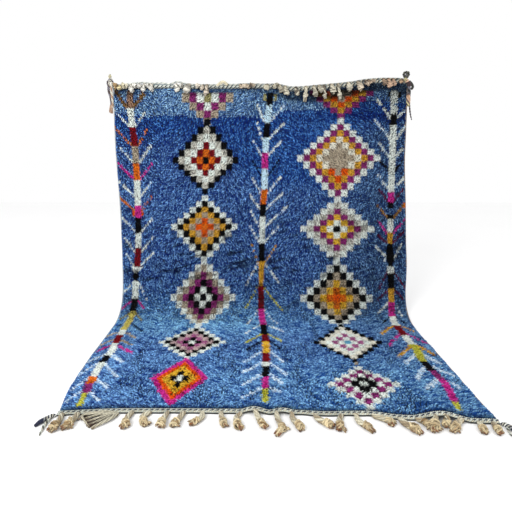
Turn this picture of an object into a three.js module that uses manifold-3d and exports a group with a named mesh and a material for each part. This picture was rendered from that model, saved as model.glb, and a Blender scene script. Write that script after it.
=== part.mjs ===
// A hand-knotted wool pile rug with a knotted fringe at both ends. It is held by its top edge, hangs
// straight, and sweeps forward at the bottom to lie on the ground.
//
// Each end of the pile is closed by a flat-woven heading, and the warps beyond it are knotted in bundles.
// Each corner of a heading has a corner tie, the wrapped end of the heading cord with a knot and a tail.
//
// Millimetres, +Z up. The origin is the middle of the top edge, on the plane of the rug's back. The pile
// faces -Y, the rug's right side as seen from the pile is +X, and the ground is HANG_HEIGHT below.

import * as THREE from 'three';
import { mergeVertices } from 'three/addons/utils/BufferGeometryUtils.js';
import Module from 'manifold-3d';

const HANG_HEIGHT = 1305; // from the ground to the top edge
const SWEEP_LENGTH = 340; // cloth taken up by the bend between hanging and lying
const RUG_THICKNESS = 18; // foundation and pile together
const SIDE_THICKNESS = 10; // where the pile thins out at the side edges
const END_THICKNESS = 14; // where the pile stops at the headings
const PILE_UNEVENNESS = 2;
const HEADING_WIDTH = 22;
const HEADING_THICKNESS = 11;
const GAP = 0.3; // between pieces that touch

const COLUMNS = 36;
const SIDE_COLUMN = 0.014; // share of the width in the thinned outermost column
const HANGING_ROWS = 14;
const SWEEP_ROWS = 10;
const LYING_ROWS = 13;
const SWEEP_STEPS = 200;

const GROUND = -HANG_HEIGHT;

const PILE_BLUE = 0x3c62a8;
const WARP_CREAM = 0xd8ccab;
const TIE_INDIGO = 0x39425f;

// Side edges: how far left and right of the middle they lie, at distances down the cloth.
const sideEdges = [
  { down: 0, left: -802, right: 776 },
  { down: 300, left: -806, right: 793 },
  { down: 640, left: -797, right: 818 },
  { down: 1030, left: -807, right: 842 },
  { down: 1300, left: -822, right: 836 },
  { down: 1520, left: -815, right: 819 },
  { down: 1800, left: -809, right: 826 },
  { down: 2060, left: -794, right: 828 },
  { down: 2210, left: -768, right: 836 },
];

// Top edge: how far it rises above the origin, from left to right. It sags between the points that hold it.
const topEdge = [
  { across: -802, rise: -5 },
  { across: -600, rise: 2 },
  { across: -300, rise: -1 },
  { across: 60, rise: 0 },
  { across: 157, rise: -14 },
  { across: 310, rise: -4 },
  { across: 460, rise: 9 },
  { across: 590, rise: 26 },
  { across: 735, rise: 28 },
  { across: 790, rise: 20 },
];

// Front end of the pile on the ground: its distance forward of the hanging plane, from left to right.
const frontEnd = [
  { across: -768, forward: 968 },
  { across: -600, forward: 956 },
  { across: -430, forward: 952 },
  { across: -110, forward: 950 },
  { across: 20, forward: 953 },
  { across: 130, forward: 966 },
  { across: 200, forward: 973 },
  { across: 386, forward: 972 },
  { across: 488, forward: 996 },
  { across: 643, forward: 1003 },
  { across: 735, forward: 1013 },
  { across: 836, forward: 1018 },
];

// Low buckles that lift the front end off the ground and die out behind it.
const buckles = [
  { across: -40, lift: 12, halfWidth: 55, reach: 110 },
  { across: 64, lift: 9, halfWidth: 50, reach: 90 },
  { across: 640, lift: 20, halfWidth: 110, reach: 200 },
];

// Shallow upright swells, where the hanging cloth stands a little forward of its plane.
const swells = [
  { across: -520, out: 9, halfWidth: 260 },
  { across: 70, out: 6, halfWidth: 240 },
  { across: 560, out: 10, halfWidth: 250 },
];

// Knotted bundles of the front fringe, from left to right. Each leaves the heading at across, and its bend,
// knot and tip are places on the ground, [across, forward]. The forks are short ends that leave the knot.
const frontBundles = [
  { across: -746, bend: [-741, 1019], knot: [-740, 1056], tip: [-745, 1078], forks: [[-757, 1074]] },
  { across: -687, bend: [-688, 1003], knot: [-687, 1036], tip: [-695, 1068], forks: [[-677, 1058]] },
  { across: -493, bend: [-502, 1003], knot: [-493, 1034], tip: [-502, 1060], forks: [[-471, 1043]] },
  { across: -429, bend: [-440, 996], knot: [-424, 1026], tip: [-415, 1050], forks: [[-398, 1036]] },
  { across: -362, bend: [-365, 1003], knot: [-367, 1038], tip: [-379, 1057], forks: [[-360, 1062]] },
  { across: -302, bend: [-311, 1001], knot: [-320, 1036], tip: [-328, 1056], forks: [[-299, 1050]] },
  { across: -234, bend: [-229, 997], knot: [-250, 1026], tip: [-274, 1037], forks: [[-256, 1047]] },
  { across: -164, bend: [-155, 1003], knot: [-149, 1032], tip: [-154, 1057], forks: [[-130, 1052]] },
  { across: -92, bend: [-104, 1003], knot: [-97, 1040], tip: [-81, 1076], forks: [[-78, 1056]] },
  { across: -36, bend: [-24, 1005], knot: [-12, 1037], tip: [3, 1071], forks: [[-17, 1062]] },
  { across: 41, bend: [44, 1007], knot: [54, 1052], tip: [31, 1114], forks: [[74, 1070], [46, 1086]] },
  { across: 97, bend: [99, 1009], knot: [114, 1052], tip: [122, 1086], forks: [[128, 1025]] },
  { across: 182, bend: [192, 1013], knot: [220, 1046], tip: [236, 1059], forks: [[216, 1068]] },
  { across: 279, bend: [267, 1011], knot: [266, 1050], tip: [255, 1082], forks: [[273, 1092]] },
  { across: 332, bend: [331, 1023], knot: [352, 1062], tip: [370, 1096], forks: [] },
  { across: 397, bend: [418, 1009], knot: [441, 1029], tip: [440, 1057], forks: [[468, 1032]] },
  { across: 486, bend: [490, 1040], knot: [512, 1079], tip: [525, 1108], forks: [[528, 1048], [494, 1086]] },
  { across: 549, bend: [552, 1022], knot: [557, 1038], tip: [560, 1052], forks: [] },
  { across: 618, bend: [606, 1021], knot: [594, 1046], tip: [584, 1092], forks: [[556, 1078], [612, 1073]] },
  { across: 655, bend: [644, 1038], knot: [642, 1068], tip: [634, 1097], forks: [] },
  { across: 703, bend: [699, 1042], knot: [688, 1062], tip: [672, 1084], forks: [[692, 1092]] },
  { across: 762, bend: [760, 1048], knot: [756, 1082], tip: [762, 1108], forks: [[744, 1104]] },
  { across: 812, bend: [808, 1052], knot: [806, 1086], tip: [799, 1112], forks: [[816, 1108]] },
];

// The one bundle whose knot has come undone: its warps lie fanned out from one root.
const looseRoot = [-560, 968];
const looseWarps = [
  { bend: [-586, 994], tip: [-659, 992] },
  { bend: [-584, 1010], tip: [-655, 1016] },
  { bend: [-574, 1022], tip: [-636, 1042] },
  { bend: [-550, 1020], tip: [-603, 1062] },
];

// Knotted bundles of the top fringe, from left to right, flopped down over the pile. Each leaves the heading
// at across, and its knot and tip are places in the hanging plane, [across, rise above the origin].
const topBundles = [
  { across: -764, knot: [-765, -20], tip: [-770, -34], size: 0.8 },
  { across: -691, knot: [-688, -36], tip: [-684, -52], size: 0.9 },
  { across: -640, knot: [-638, -18], tip: [-644, -30], size: 0.8 },
  { across: -600, knot: [-602, -26], tip: [-596, -40], size: 0.8 },
  { across: -452, knot: [-441, -32], tip: [-436, -50], size: 0.9 },
  { across: -396, knot: [-406, -34], tip: [-412, -52], size: 1.0 },
  { across: -347, knot: [-346, -18], tip: [-350, -30], size: 0.7 },
  { across: -300, knot: [-301, -36], tip: [-315, -60], size: 0.7 },
  { across: -112, knot: [-92, -17], tip: [-70, -22], size: 0.8 },
  { across: -60, knot: [-45, -12], tip: [-28, -14], size: 0.7 },
  { across: 29, knot: [27, -22], tip: [22, -34], size: 0.9 },
  { across: 62, knot: [72, -11], tip: [84, -20], size: 0.8 },
  { across: 96, knot: [106, -34], tip: [112, -50], size: 0.9 },
  { across: 124, knot: [131, -46], tip: [145, -66], size: 0.7 },
  { across: 180, knot: [186, -48], tip: [192, -64], size: 0.9 },
  { across: 234, knot: [230, -66], tip: [226, -106], size: 0.9 },
  { across: 285, knot: [294, -52], tip: [300, -74], size: 1.0 },
  { across: 322, knot: [321, -38], tip: [317, -60], size: 0.8 },
  { across: 371, knot: [381, -42], tip: [388, -62], size: 0.9 },
  { across: 404, knot: [416, -38], tip: [417, -76], size: 0.8 },
  { across: 461, knot: [471, -22], tip: [474, -46], size: 0.8 },
  { across: 518, knot: [530, -24], tip: [536, -42], size: 0.9 },
  { across: 568, knot: [584, 14], tip: [604, 20], size: 0.7 },
  { across: 661, knot: [672, 0], tip: [670, -22], size: 0.9 },
  { across: 692, knot: [703, -4], tip: [710, -20], size: 0.9 },
];

// The one bundle of the top fringe that stands up above the heading and flops over its front.
const standingBundle = { foot: [-252, -14], crown: [-213, 12], end: [-186, -4], size: 0.7 };

// Loops of the upper ties, by their middles and radii, to hang the rug by.
const leftLoops = [
  { across: -811, rise: 36, radius: 12, yarnRadius: 4 },
  { across: -814, rise: 4, radius: 16, yarnRadius: 5 },
];
const rightLoops = [
  { across: 772, rise: 49, radius: 13, yarnRadius: 4 },
];

// Yarn that links the loops to the ties below them, by its drop below the origin.
const leftLink = [
  { drop: -30, across: -811, radius: 4 },
  { drop: -16, across: -811, radius: 5 },
];
const rightLink = [
  { drop: -36, across: 777, radius: 5 },
  { drop: -12, across: 787, radius: 7 },
];

// The hanging ties, from the corners of the heading down. Where one is thickest it has its knot or tassel.
const leftCord = [
  { drop: 14, across: -811, radius: 6 },
  { drop: 56, across: -818, radius: 6 },
  { drop: 104, across: -816, radius: 6 },
  { drop: 122, across: -818, radius: 12 },
  { drop: 140, across: -821, radius: 8 },
  { drop: 165, across: -826, radius: 3 },
];
const rightCord = [
  { drop: -14, across: 789, radius: 8 },
  { drop: 12, across: 805, radius: 6 },
  { drop: 42, across: 803, radius: 6 },
  { drop: 68, across: 796, radius: 12 },
  { drop: 98, across: 797, radius: 12 },
  { drop: 120, across: 799, radius: 5 },
  { drop: 156, across: 804, radius: 4 },
  { drop: 187, across: 813, radius: 3 },
];

// The lying ties: a thick cord that curls away from each corner of the front heading, and a thin tail by it.
const leftLyingCord = [
  { forward: 985, across: -779, radius: 8 },
  { forward: 1001, across: -790, radius: 9 },
  { forward: 1028, across: -809, radius: 8 },
  { forward: 1046, across: -819, radius: 4 },
];
const leftLyingTail = [
  { forward: 1000, across: -784, radius: 5 },
  { forward: 1040, across: -781, radius: 5 },
  { forward: 1090, across: -771, radius: 3 },
];
const rightLyingCord = [
  { forward: 1035, across: 848, radius: 8 },
  { forward: 1051, across: 857, radius: 9 },
  { forward: 1069, across: 865, radius: 8 },
  { forward: 1087, across: 868, radius: 4 },
];
const rightLyingTail = [
  { forward: 1046, across: 850, radius: 5 },
  { forward: 1078, across: 843, radius: 4 },
  { forward: 1112, across: 844, radius: 3 },
];

const BUNDLE_STEM = { halfWidth: 11, height: 18 };
const BUNDLE_KNOT = { halfWidth: 19, height: 27 };
const KNOT_END = { halfWidth: 15, height: 22 };
const BUNDLE_TIP = { halfWidth: 9, height: 12 };
const WARP_END = { halfWidth: 6, height: 9 };
const LOOSE_WARP = { halfWidth: 8, height: 12 };
const ROOT_DEPTH = 10; // how far a root reaches into its heading
const ROOT_HEIGHT = 7;
const TOP_STEM = { halfWidth: 7, height: 9 };
const TOP_KNOT = { halfWidth: 15, height: 16 };
const TOP_TIP = { halfWidth: 6, height: 6 };
const TOP_CLEARANCE = 2; // between a hanging bundle and the pile behind it
const TOP_ROOT_INSET = 5; // from the top of the heading down to the roots
const TOP_FOLD = { rise: 4, share: 0.3 }; // where a bundle folds over: above the pile, and towards its knot
const CROWN_OUT = 4;

// Corners of a strand's section: [share of its half width, share of its height].
const STRAND_CORNERS = [[-0.8, 0], [0.8, 0], [0.75, 1], [-0.75, 1]];

const RING_STEPS = 10;
const RING_LAP = 0.2; // share of a step by which a loop's two halves run into each other
const TIE_STEP = 12; // between the rings of a tie's mesh
const TIE_SIDES = 6;
const TIE_RIDGE = 0.12; // share of the radius that the twist stands out
const TIE_TWIST = 1.1; // turn of the ridges from one ring to the next, in radians
const TIE_OUT = 14; // how far forward of the hanging plane the upper ties lie
const LEFT_STUB = { rise: -15, reach: 12, radius: 4.8 }; // from a corner of the top heading to its tie
const RIGHT_STUB = { rise: 10, reach: 14, radius: 4.8 };
const LYING_STUB = { reach: 6, radius: 5 };
const LEFT_STUB_FORWARD = 979;
const RIGHT_STUB_FORWARD = 1029;

// A smooth curve through one column of a table, read at a place given in another of its columns.
function along(table, place, column, at) {
  const last = table.length - 1;
  let k = 0;
  while (k < last - 1 && at > table[k + 1][place]) k += 1;
  const slope = (n) => {
    const before = table[Math.max(n - 1, 0)];
    const after = table[Math.min(n + 1, last)];
    return (after[column] - before[column]) / (after[place] - before[place]);
  };
  const span = table[k + 1][place] - table[k][place];
  const t = Math.min(Math.max((at - table[k][place]) / span, 0), 1);
  const rise = table[k + 1][column] - table[k][column];
  const startPull = slope(k) * span - rise;
  const endPull = rise - slope(k + 1) * span;
  return table[k][column] + t * rise + t * (1 - t) * ((1 - t) * startPull + t * endPull);
}

// A smooth bump, 1 in the middle and 0 from one half width outwards.
function bump(distance, halfWidth) {
  const t = Math.min(Math.abs(distance) / halfWidth, 1);
  return (1 - t * t) ** 2;
}

// The sweep from hanging to lying, in small steps of equal length. Its turn starts and ends softly.
const sweepPath = [{ forward: 0, down: 0, turn: 0 }];
for (let n = 0; n < SWEEP_STEPS; n += 1) {
  const t = (n + 0.5) / SWEEP_STEPS;
  const turn = (Math.PI / 2) * t * t * (3 - 2 * t);
  const { forward, down } = sweepPath[n];
  const step = SWEEP_LENGTH / SWEEP_STEPS;
  const s = (n + 1) / SWEEP_STEPS;
  sweepPath.push({
    forward: forward + step * Math.sin(turn),
    down: down + step * Math.cos(turn),
    turn: (Math.PI / 2) * s * s * (3 - 2 * s),
  });
}
const SWEEP_EXTENT = sweepPath[SWEEP_STEPS].forward;
const HANGING_LENGTH = HANG_HEIGHT - SWEEP_EXTENT;

const pileTop = (across) => along(topEdge, 'across', 'rise', across) - HEADING_WIDTH - GAP;
const pileFront = (across) => along(frontEnd, 'across', 'forward', across);

// How far the front end and the cloth behind it are lifted by the buckles.
function lift(across, behindFront) {
  let total = 0;
  for (const buckle of buckles) {
    const fade = bump(behindFront, buckle.reach);
    total += buckle.lift * fade * bump(across - buckle.across, buckle.halfWidth);
  }
  return total;
}

// How far the hanging cloth stands forward of its plane.
function swell(across, down) {
  let total = 0;
  const share = Math.min(Math.max(down / HANGING_LENGTH, 0), 1);
  for (const { across: middle, out, halfWidth } of swells) {
    total += out * Math.sin(Math.PI * share) * bump(across - middle, halfWidth);
  }
  return total;
}

// A repeatable number between -1 and 1 for each knot of the pile's unevenness.
function unevenness(column, row) {
  const wave = Math.sin(column * 12.9898 + row * 78.233) * 43758.5453;
  return 2 * (wave - Math.floor(wave)) - 1;
}

const columnShare = (column) => {
  if (column === 0) return 0;
  if (column === COLUMNS) return 1;
  const inner = (column - 1) / (COLUMNS - 2);
  return SIDE_COLUMN + inner * (1 - 2 * SIDE_COLUMN);
};

const ROWS = HANGING_ROWS + SWEEP_ROWS + LYING_ROWS;

// The point of the rug's back at one knot of its mesh, with the direction from back to pile.
function backPoint(column, row) {
  const share = columnShare(column);
  const acrossAt = (down) => {
    const left = along(sideEdges, 'down', 'left', down);
    return left + share * (along(sideEdges, 'down', 'right', down) - left);
  };
  if (row <= HANGING_ROWS) {
    const start = -pileTop(acrossAt(0));
    const down = start + (row / HANGING_ROWS) * (HANGING_LENGTH - start);
    const across = acrossAt(row === 0 ? 0 : down);
    const point = new THREE.Vector3(across, -swell(across, down), row === 0 ? pileTop(across) : -down);
    return { point, pileSide: new THREE.Vector3(0, -1, 0) };
  }
  if (row <= HANGING_ROWS + SWEEP_ROWS) {
    const part = (row - HANGING_ROWS) / SWEEP_ROWS;
    const stop = sweepPath[Math.round(part * SWEEP_STEPS)];
    const across = acrossAt(HANGING_LENGTH + part * SWEEP_LENGTH);
    const point = new THREE.Vector3(across, -stop.forward, -HANGING_LENGTH - stop.down);
    return { point, pileSide: new THREE.Vector3(0, -Math.cos(stop.turn), Math.sin(stop.turn)) };
  }
  const part = (row - HANGING_ROWS - SWEEP_ROWS) / LYING_ROWS;
  const lastDown = sideEdges[sideEdges.length - 1].down;
  const sweepEnd = HANGING_LENGTH + SWEEP_LENGTH;
  const across = acrossAt(sweepEnd + part * (lastDown - sweepEnd));
  const front = pileFront(acrossAt(lastDown));
  const forward = SWEEP_EXTENT + part * (front - SWEEP_EXTENT);
  const point = new THREE.Vector3(across, -forward, GROUND + lift(across, front - forward));
  return { point, pileSide: new THREE.Vector3(0, 0, 1) };
}

function thickness(column, row) {
  const atEnd = row === 0 || row === ROWS;
  const atSide = column === 0 || column === COLUMNS;
  if (atSide) return SIDE_THICKNESS;
  if (atEnd) return END_THICKNESS;
  return RUG_THICKNESS + PILE_UNEVENNESS * unevenness(column, row);
}

function meshFrom(positions, triangles) {
  const geometry = new THREE.BufferGeometry();
  geometry.setAttribute('position', new THREE.Float32BufferAttribute(positions, 3));
  geometry.setIndex(triangles);
  return geometry;
}

// The rug's cloth: a lumpy slab with one face of pile, one flat back, and thinner rims.
function pileCloth() {
  const positions = [];
  const triangles = [];
  const perFace = (COLUMNS + 1) * (ROWS + 1);
  for (let row = 0; row <= ROWS; row += 1) {
    for (let column = 0; column <= COLUMNS; column += 1) {
      const { point } = backPoint(column, row);
      positions.push(point.x, point.y, point.z);
    }
  }
  for (let row = 0; row <= ROWS; row += 1) {
    for (let column = 0; column <= COLUMNS; column += 1) {
      const { point, pileSide } = backPoint(column, row);
      point.addScaledVector(pileSide, thickness(column, row));
      positions.push(point.x, point.y, point.z);
    }
  }
  const at = (column, row) => row * (COLUMNS + 1) + column;
  const quad = (a, b, c, d) => triangles.push(a, b, c, a, c, d);
  for (let row = 0; row < ROWS; row += 1) {
    for (let column = 0; column < COLUMNS; column += 1) {
      const corners = [at(column, row), at(column + 1, row), at(column + 1, row + 1), at(column, row + 1)];
      const [a, b, c, d] = corners;
      quad(a, b, c, d);
      quad(d + perFace, c + perFace, b + perFace, a + perFace);
    }
  }
  const rim = (a, b) => quad(b, a, a + perFace, b + perFace);
  for (let column = 0; column < COLUMNS; column += 1) {
    rim(at(column, 0), at(column + 1, 0));
    rim(at(column + 1, ROWS), at(column, ROWS));
  }
  for (let row = 0; row < ROWS; row += 1) {
    rim(at(0, row + 1), at(0, row));
    rim(at(COLUMNS, row), at(COLUMNS, row + 1));
  }
  return meshFrom(positions, triangles);
}

const wasm = await Module();
wasm.setup();

// A geometry whose faces are turned outwards, as a solid.
function solidFrom(geometry) {
  geometry.deleteAttribute('normal');
  geometry.deleteAttribute('uv');
  const merged = mergeVertices(geometry, 1e-4);
  const position = merged.getAttribute('position');
  const index = Uint32Array.from(merged.getIndex().array);
  const corner = (n) => new THREE.Vector3().fromBufferAttribute(position, index[n]);
  let volume = 0;
  for (let n = 0; n < index.length; n += 3) {
    volume += corner(n).dot(corner(n + 1).cross(corner(n + 2)));
  }
  if (volume < 0) {
    for (let n = 0; n < index.length; n += 3) {
      [index[n + 1], index[n + 2]] = [index[n + 2], index[n + 1]];
    }
  }
  const mesh = new wasm.Mesh({ numProp: 3, vertProperties: position.array, triVerts: index });
  return new wasm.Manifold(mesh);
}

function geometryFrom(solid) {
  const { vertProperties, triVerts } = solid.getMesh();
  return meshFrom([...vertProperties], [...triVerts]);
}

const joined = (solids) => solids.reduce((whole, piece) => whole.add(piece));

// A closed body through a row of rings that all have the same number of points.
function loft(rings) {
  const count = rings[0].length;
  const positions = rings.flat().flatMap((point) => [point.x, point.y, point.z]);
  const triangles = [];
  for (let ring = 0; ring + 1 < rings.length; ring += 1) {
    for (let n = 0; n < count; n += 1) {
      const here = ring * count + n;
      const next = ring * count + ((n + 1) % count);
      triangles.push(here, next, next + count, here, next + count, here + count);
    }
  }
  const lastRing = (rings.length - 1) * count;
  for (let n = 1; n + 1 < count; n += 1) {
    triangles.push(0, n + 1, n, lastRing, lastRing + n, lastRing + n + 1);
  }
  return solidFrom(meshFrom(positions, triangles));
}

// The heading's cross-section: [away from the pile, out from the back], flat where it meets the pile.
const headingSection = [
  [0, 0],
  [0, HEADING_THICKNESS - 1],
  [5, HEADING_THICKNESS],
  [15, HEADING_THICKNESS - 2],
  [HEADING_WIDTH, 5],
  [HEADING_WIDTH, 0],
];

function topHeading() {
  const rings = [];
  for (let column = 0; column <= COLUMNS; column += 1) {
    const { point } = backPoint(column, 0);
    rings.push(headingSection.map(([away, out]) => (
      new THREE.Vector3(point.x, point.y - out, point.z + GAP + away)
    )));
  }
  return loft(rings);
}

function frontHeading() {
  const rings = [];
  for (let column = 0; column <= COLUMNS; column += 1) {
    const { point } = backPoint(column, ROWS);
    rings.push(headingSection.map(([away, out]) => (
      new THREE.Vector3(point.x, point.y - GAP - away, point.z + out)
    )));
  }
  return loft(rings);
}

// A four-sided strand along a route. Each stop has a point under the middle of the strand, and the half
// width and height of the strand there. Up is the direction of its height.
function strand(stops, up) {
  const rings = stops.map(({ point, halfWidth, height }, n) => {
    const before = stops[Math.max(n - 1, 0)].point;
    const after = stops[Math.min(n + 1, stops.length - 1)].point;
    const ahead = after.clone().sub(before);
    const side = ahead.cross(up).normalize();
    return STRAND_CORNERS.map(([share, rise]) => (
      point.clone().addScaledVector(side, share * halfWidth).addScaledVector(up, rise * height)
    ));
  });
  return loft(rings);
}

const onGround = ([across, forward]) => new THREE.Vector3(across, -forward, GROUND);
const between = (a, b, share) => a.clone().lerp(b, share);
const UP = new THREE.Vector3(0, 0, 1);
const OUT = new THREE.Vector3(0, -1, 0);

// The root of a front bundle, inside the heading and as high as its buckle lifts it.
function frontRoot(across) {
  const forward = pileFront(across) + GAP + HEADING_WIDTH - ROOT_DEPTH;
  const point = new THREE.Vector3(across, -forward, GROUND + lift(across, 0));
  return { point, halfWidth: BUNDLE_STEM.halfWidth, height: ROOT_HEIGHT };
}

function frontBundle({ across, bend, knot, tip, forks }) {
  const [bendPoint, knotPoint, tipPoint] = [bend, knot, tip].map(onGround);
  const neck = between(bendPoint, knotPoint, 0.5);
  const shoulder = between(knotPoint, tipPoint, 0.5);
  const body = strand([
    frontRoot(across),
    { point: bendPoint, ...BUNDLE_STEM },
    { point: neck, ...BUNDLE_STEM },
    { point: knotPoint, ...BUNDLE_KNOT },
    { point: shoulder, ...KNOT_END },
    { point: tipPoint, ...BUNDLE_TIP },
  ], UP);
  const ends = forks.map((fork) => strand([
    { point: knotPoint, ...BUNDLE_TIP },
    { point: onGround(fork), ...WARP_END },
  ], UP));
  return joined([body, ...ends]);
}

function looseBundle() {
  const root = { point: onGround(looseRoot), halfWidth: LOOSE_WARP.halfWidth, height: ROOT_HEIGHT };
  const warps = looseWarps.map(({ bend, tip }) => strand([
    root,
    { point: onGround(bend), ...LOOSE_WARP },
    { point: onGround(tip), ...WARP_END },
  ], UP));
  return joined(warps);
}

// A place in front of the hanging pile, clear of its lumps, or in front of the heading above it.
function beforePile([across, rise], clearance = TOP_CLEARANCE) {
  const out = RUG_THICKNESS + PILE_UNEVENNESS + swell(across, -rise) + clearance;
  return new THREE.Vector3(across, -out, rise);
}

const sized = ({ halfWidth, height }, size) => ({ halfWidth: halfWidth * size, height: height * size });

function topBundle({ across, knot, tip, size }) {
  const foot = pileTop(across);
  const root = new THREE.Vector3(across, -1, foot + HEADING_WIDTH - TOP_ROOT_INSET);
  const over = beforePile([across + (knot[0] - across) * TOP_FOLD.share, foot + TOP_FOLD.rise]);
  return strand([
    { point: root, ...TOP_STEM },
    { point: over, ...TOP_STEM },
    { point: beforePile(knot), ...sized(TOP_KNOT, size) },
    { point: beforePile(tip), ...sized(TOP_TIP, size) },
  ], OUT);
}

function standingTopBundle({ foot, crown, end, size }) {
  const place = ([across, rise], out) => new THREE.Vector3(across, -out, rise);
  return strand([
    { point: place(foot, 1), ...TOP_STEM },
    { point: place(crown, CROWN_OUT), ...sized(TOP_KNOT, size) },
    { point: place(end, HEADING_THICKNESS + TOP_CLEARANCE), ...TOP_STEM },
  ], OUT);
}

function frontFringe() {
  return geometryFrom(joined([frontHeading(), looseBundle(), ...frontBundles.map(frontBundle)]));
}

function topFringe() {
  const standing = standingTopBundle(standingBundle);
  return geometryFrom(joined([topHeading(), standing, ...topBundles.map(topBundle)]));
}

// A round yarn along a route, with a twist raised on it. Each stop has its middle point and radius.
function yarn(stops) {
  const rings = stops.map(({ point, radius }, n) => {
    const before = stops[Math.max(n - 1, 0)].point;
    const after = stops[Math.min(n + 1, stops.length - 1)].point;
    const ahead = after.clone().sub(before).normalize();
    const side = new THREE.Vector3().crossVectors(Math.abs(ahead.y) < 0.8 ? OUT : UP, ahead).normalize();
    const other = new THREE.Vector3().crossVectors(ahead, side);
    const ring = [];
    for (let k = 0; k < TIE_SIDES; k += 1) {
      const angle = (2 * Math.PI * k) / TIE_SIDES;
      const reach = radius * (1 + TIE_RIDGE * Math.cos(2 * angle - TIE_TWIST * n));
      const corner = point.clone().addScaledVector(side, reach * Math.cos(angle));
      ring.push(corner.addScaledVector(other, reach * Math.sin(angle)));
    }
    return ring;
  });
  return loft(rings);
}

// A small closed loop of yarn that stands in the hanging plane, made in two halves.
function yarnLoop({ across, rise, radius, yarnRadius }) {
  const halves = [0, Math.PI].map((turn) => {
    const stops = [];
    for (let n = 0; n <= RING_STEPS / 2; n += 1) {
      const angle = turn + (2 * Math.PI * n) / RING_STEPS;
      const point = new THREE.Vector3(
        across + radius * Math.cos(angle),
        -TIE_OUT,
        rise + radius * Math.sin(angle),
      );
      stops.push({ point, radius: yarnRadius });
    }
    const [first, second] = stops;
    const [beforeLast, last] = stops.slice(-2);
    const lapBack = between(first.point, second.point, -RING_LAP);
    const lapOn = between(last.point, beforeLast.point, -RING_LAP);
    return yarn([{ ...first, point: lapBack }, ...stops, { ...last, point: lapOn }]);
  });
  return joined(halves);
}

// A table read at even steps of one of its columns.
function stepped(table, place) {
  const start = table[0][place];
  const end = table[table.length - 1][place];
  const steps = Math.max(Math.round((end - start) / TIE_STEP), 1);
  const rows = [];
  for (let n = 0; n <= steps; n += 1) {
    const at = start + ((end - start) * n) / steps;
    const across = along(table, place, 'across', at);
    const radius = along(table, place, 'radius', at);
    rows.push({ [place]: at, across, radius });
  }
  return rows;
}

const hangingYarn = (table) => yarn(stepped(table, 'drop').map(({ drop, across, radius }) => (
  { point: new THREE.Vector3(across, -TIE_OUT, -drop), radius }
)));

// The short stub that joins an upper tie to the end of the heading, with a gap between them.
function hangingStub(end, direction, { rise, reach, radius }) {
  const place = (distance) => new THREE.Vector3(end + direction * distance, -HEADING_THICKNESS / 2, rise);
  return yarn([
    { point: place(GAP), radius },
    { point: place(reach / 2), radius },
    { point: place(reach), radius },
  ]);
}

function upperLeftTie() {
  return geometryFrom(joined([
    ...leftLoops.map(yarnLoop),
    hangingStub(sideEdges[0].left, -1, LEFT_STUB),
    hangingYarn(leftLink),
    hangingYarn(leftCord),
  ]));
}

function upperRightTie() {
  return geometryFrom(joined([
    ...rightLoops.map(yarnLoop),
    hangingStub(sideEdges[0].right, 1, RIGHT_STUB),
    hangingYarn(rightLink),
    hangingYarn(rightCord),
  ]));
}

const lyingStop = ({ across, forward, radius }) => ({
  point: new THREE.Vector3(across, -forward, GROUND + radius * (1 + TIE_RIDGE)),
  radius,
});

// A lower tie rests on the ground, and its stub starts a gap away from the end of the front heading.
function lowerTie(end, direction, forward, cord, tail) {
  const stub = [GAP, LYING_STUB.reach].map((distance) => (
    { across: end + direction * distance, forward, radius: LYING_STUB.radius }
  ));
  return geometryFrom(joined([
    yarn([...stub, ...stepped(cord, 'forward')].map(lyingStop)),
    yarn(stepped(tail, 'forward').map(lyingStop)),
  ]));
}

const front = sideEdges[sideEdges.length - 1];
const lowerLeftTie = () => lowerTie(front.left, -1, LEFT_STUB_FORWARD, leftLyingCord, leftLyingTail);
const lowerRightTie = () => lowerTie(front.right, 1, RIGHT_STUB_FORWARD, rightLyingCord, rightLyingTail);

const wool = new THREE.MeshStandardMaterial({ color: PILE_BLUE, roughness: 0.95, metalness: 0 });
const warp = new THREE.MeshStandardMaterial({ color: WARP_CREAM, roughness: 0.9, metalness: 0 });
const wrapping = new THREE.MeshStandardMaterial({ color: TIE_INDIGO, roughness: 0.9, metalness: 0 });

const rug = new THREE.Group();

function add(name, geometry, material) {
  const mesh = new THREE.Mesh(geometry, material);
  mesh.name = name;
  rug.add(mesh);
}

add('pile_cloth', pileCloth(), wool);
add('top_fringe', topFringe(), warp);
add('front_fringe', frontFringe(), warp);
add('upper_left_tie', upperLeftTie(), wrapping);
add('upper_right_tie', upperRightTie(), wrapping);
add('lower_left_tie', lowerLeftTie(), wrapping);
add('lower_right_tie', lowerRightTie(), wrapping);

export default rug;
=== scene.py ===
# The looks of a hand-knotted wool pile rug with a knotted fringe at both ends. It hangs straight from its
# top edge and sweeps forward at the bottom to lie on the ground. Metres, +Z up, pile towards -Y. Tables
# of sizes are in millimetres and are turned to metres where they are read.

import bpy
import numpy as np
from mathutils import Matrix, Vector


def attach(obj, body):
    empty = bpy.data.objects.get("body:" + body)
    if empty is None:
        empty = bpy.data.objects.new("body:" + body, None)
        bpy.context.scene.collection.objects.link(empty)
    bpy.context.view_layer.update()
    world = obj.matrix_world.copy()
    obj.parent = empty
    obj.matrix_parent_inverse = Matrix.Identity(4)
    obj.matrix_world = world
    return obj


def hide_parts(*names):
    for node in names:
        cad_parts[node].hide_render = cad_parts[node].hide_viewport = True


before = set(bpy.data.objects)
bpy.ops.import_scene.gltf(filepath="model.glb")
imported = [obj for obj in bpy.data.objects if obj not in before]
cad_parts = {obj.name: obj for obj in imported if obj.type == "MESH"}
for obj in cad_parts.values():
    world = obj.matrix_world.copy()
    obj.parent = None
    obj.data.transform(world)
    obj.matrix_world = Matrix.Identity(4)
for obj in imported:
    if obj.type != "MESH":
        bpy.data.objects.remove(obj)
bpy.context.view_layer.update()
bpy.ops.object.select_all(action="DESELECT")


# How the cloth lies. It hangs from its top edge, bends forward along a soft sweep, and lies on the ground.
# A place on it is given by the distance across it, the distance down it and the height above its back.

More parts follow.
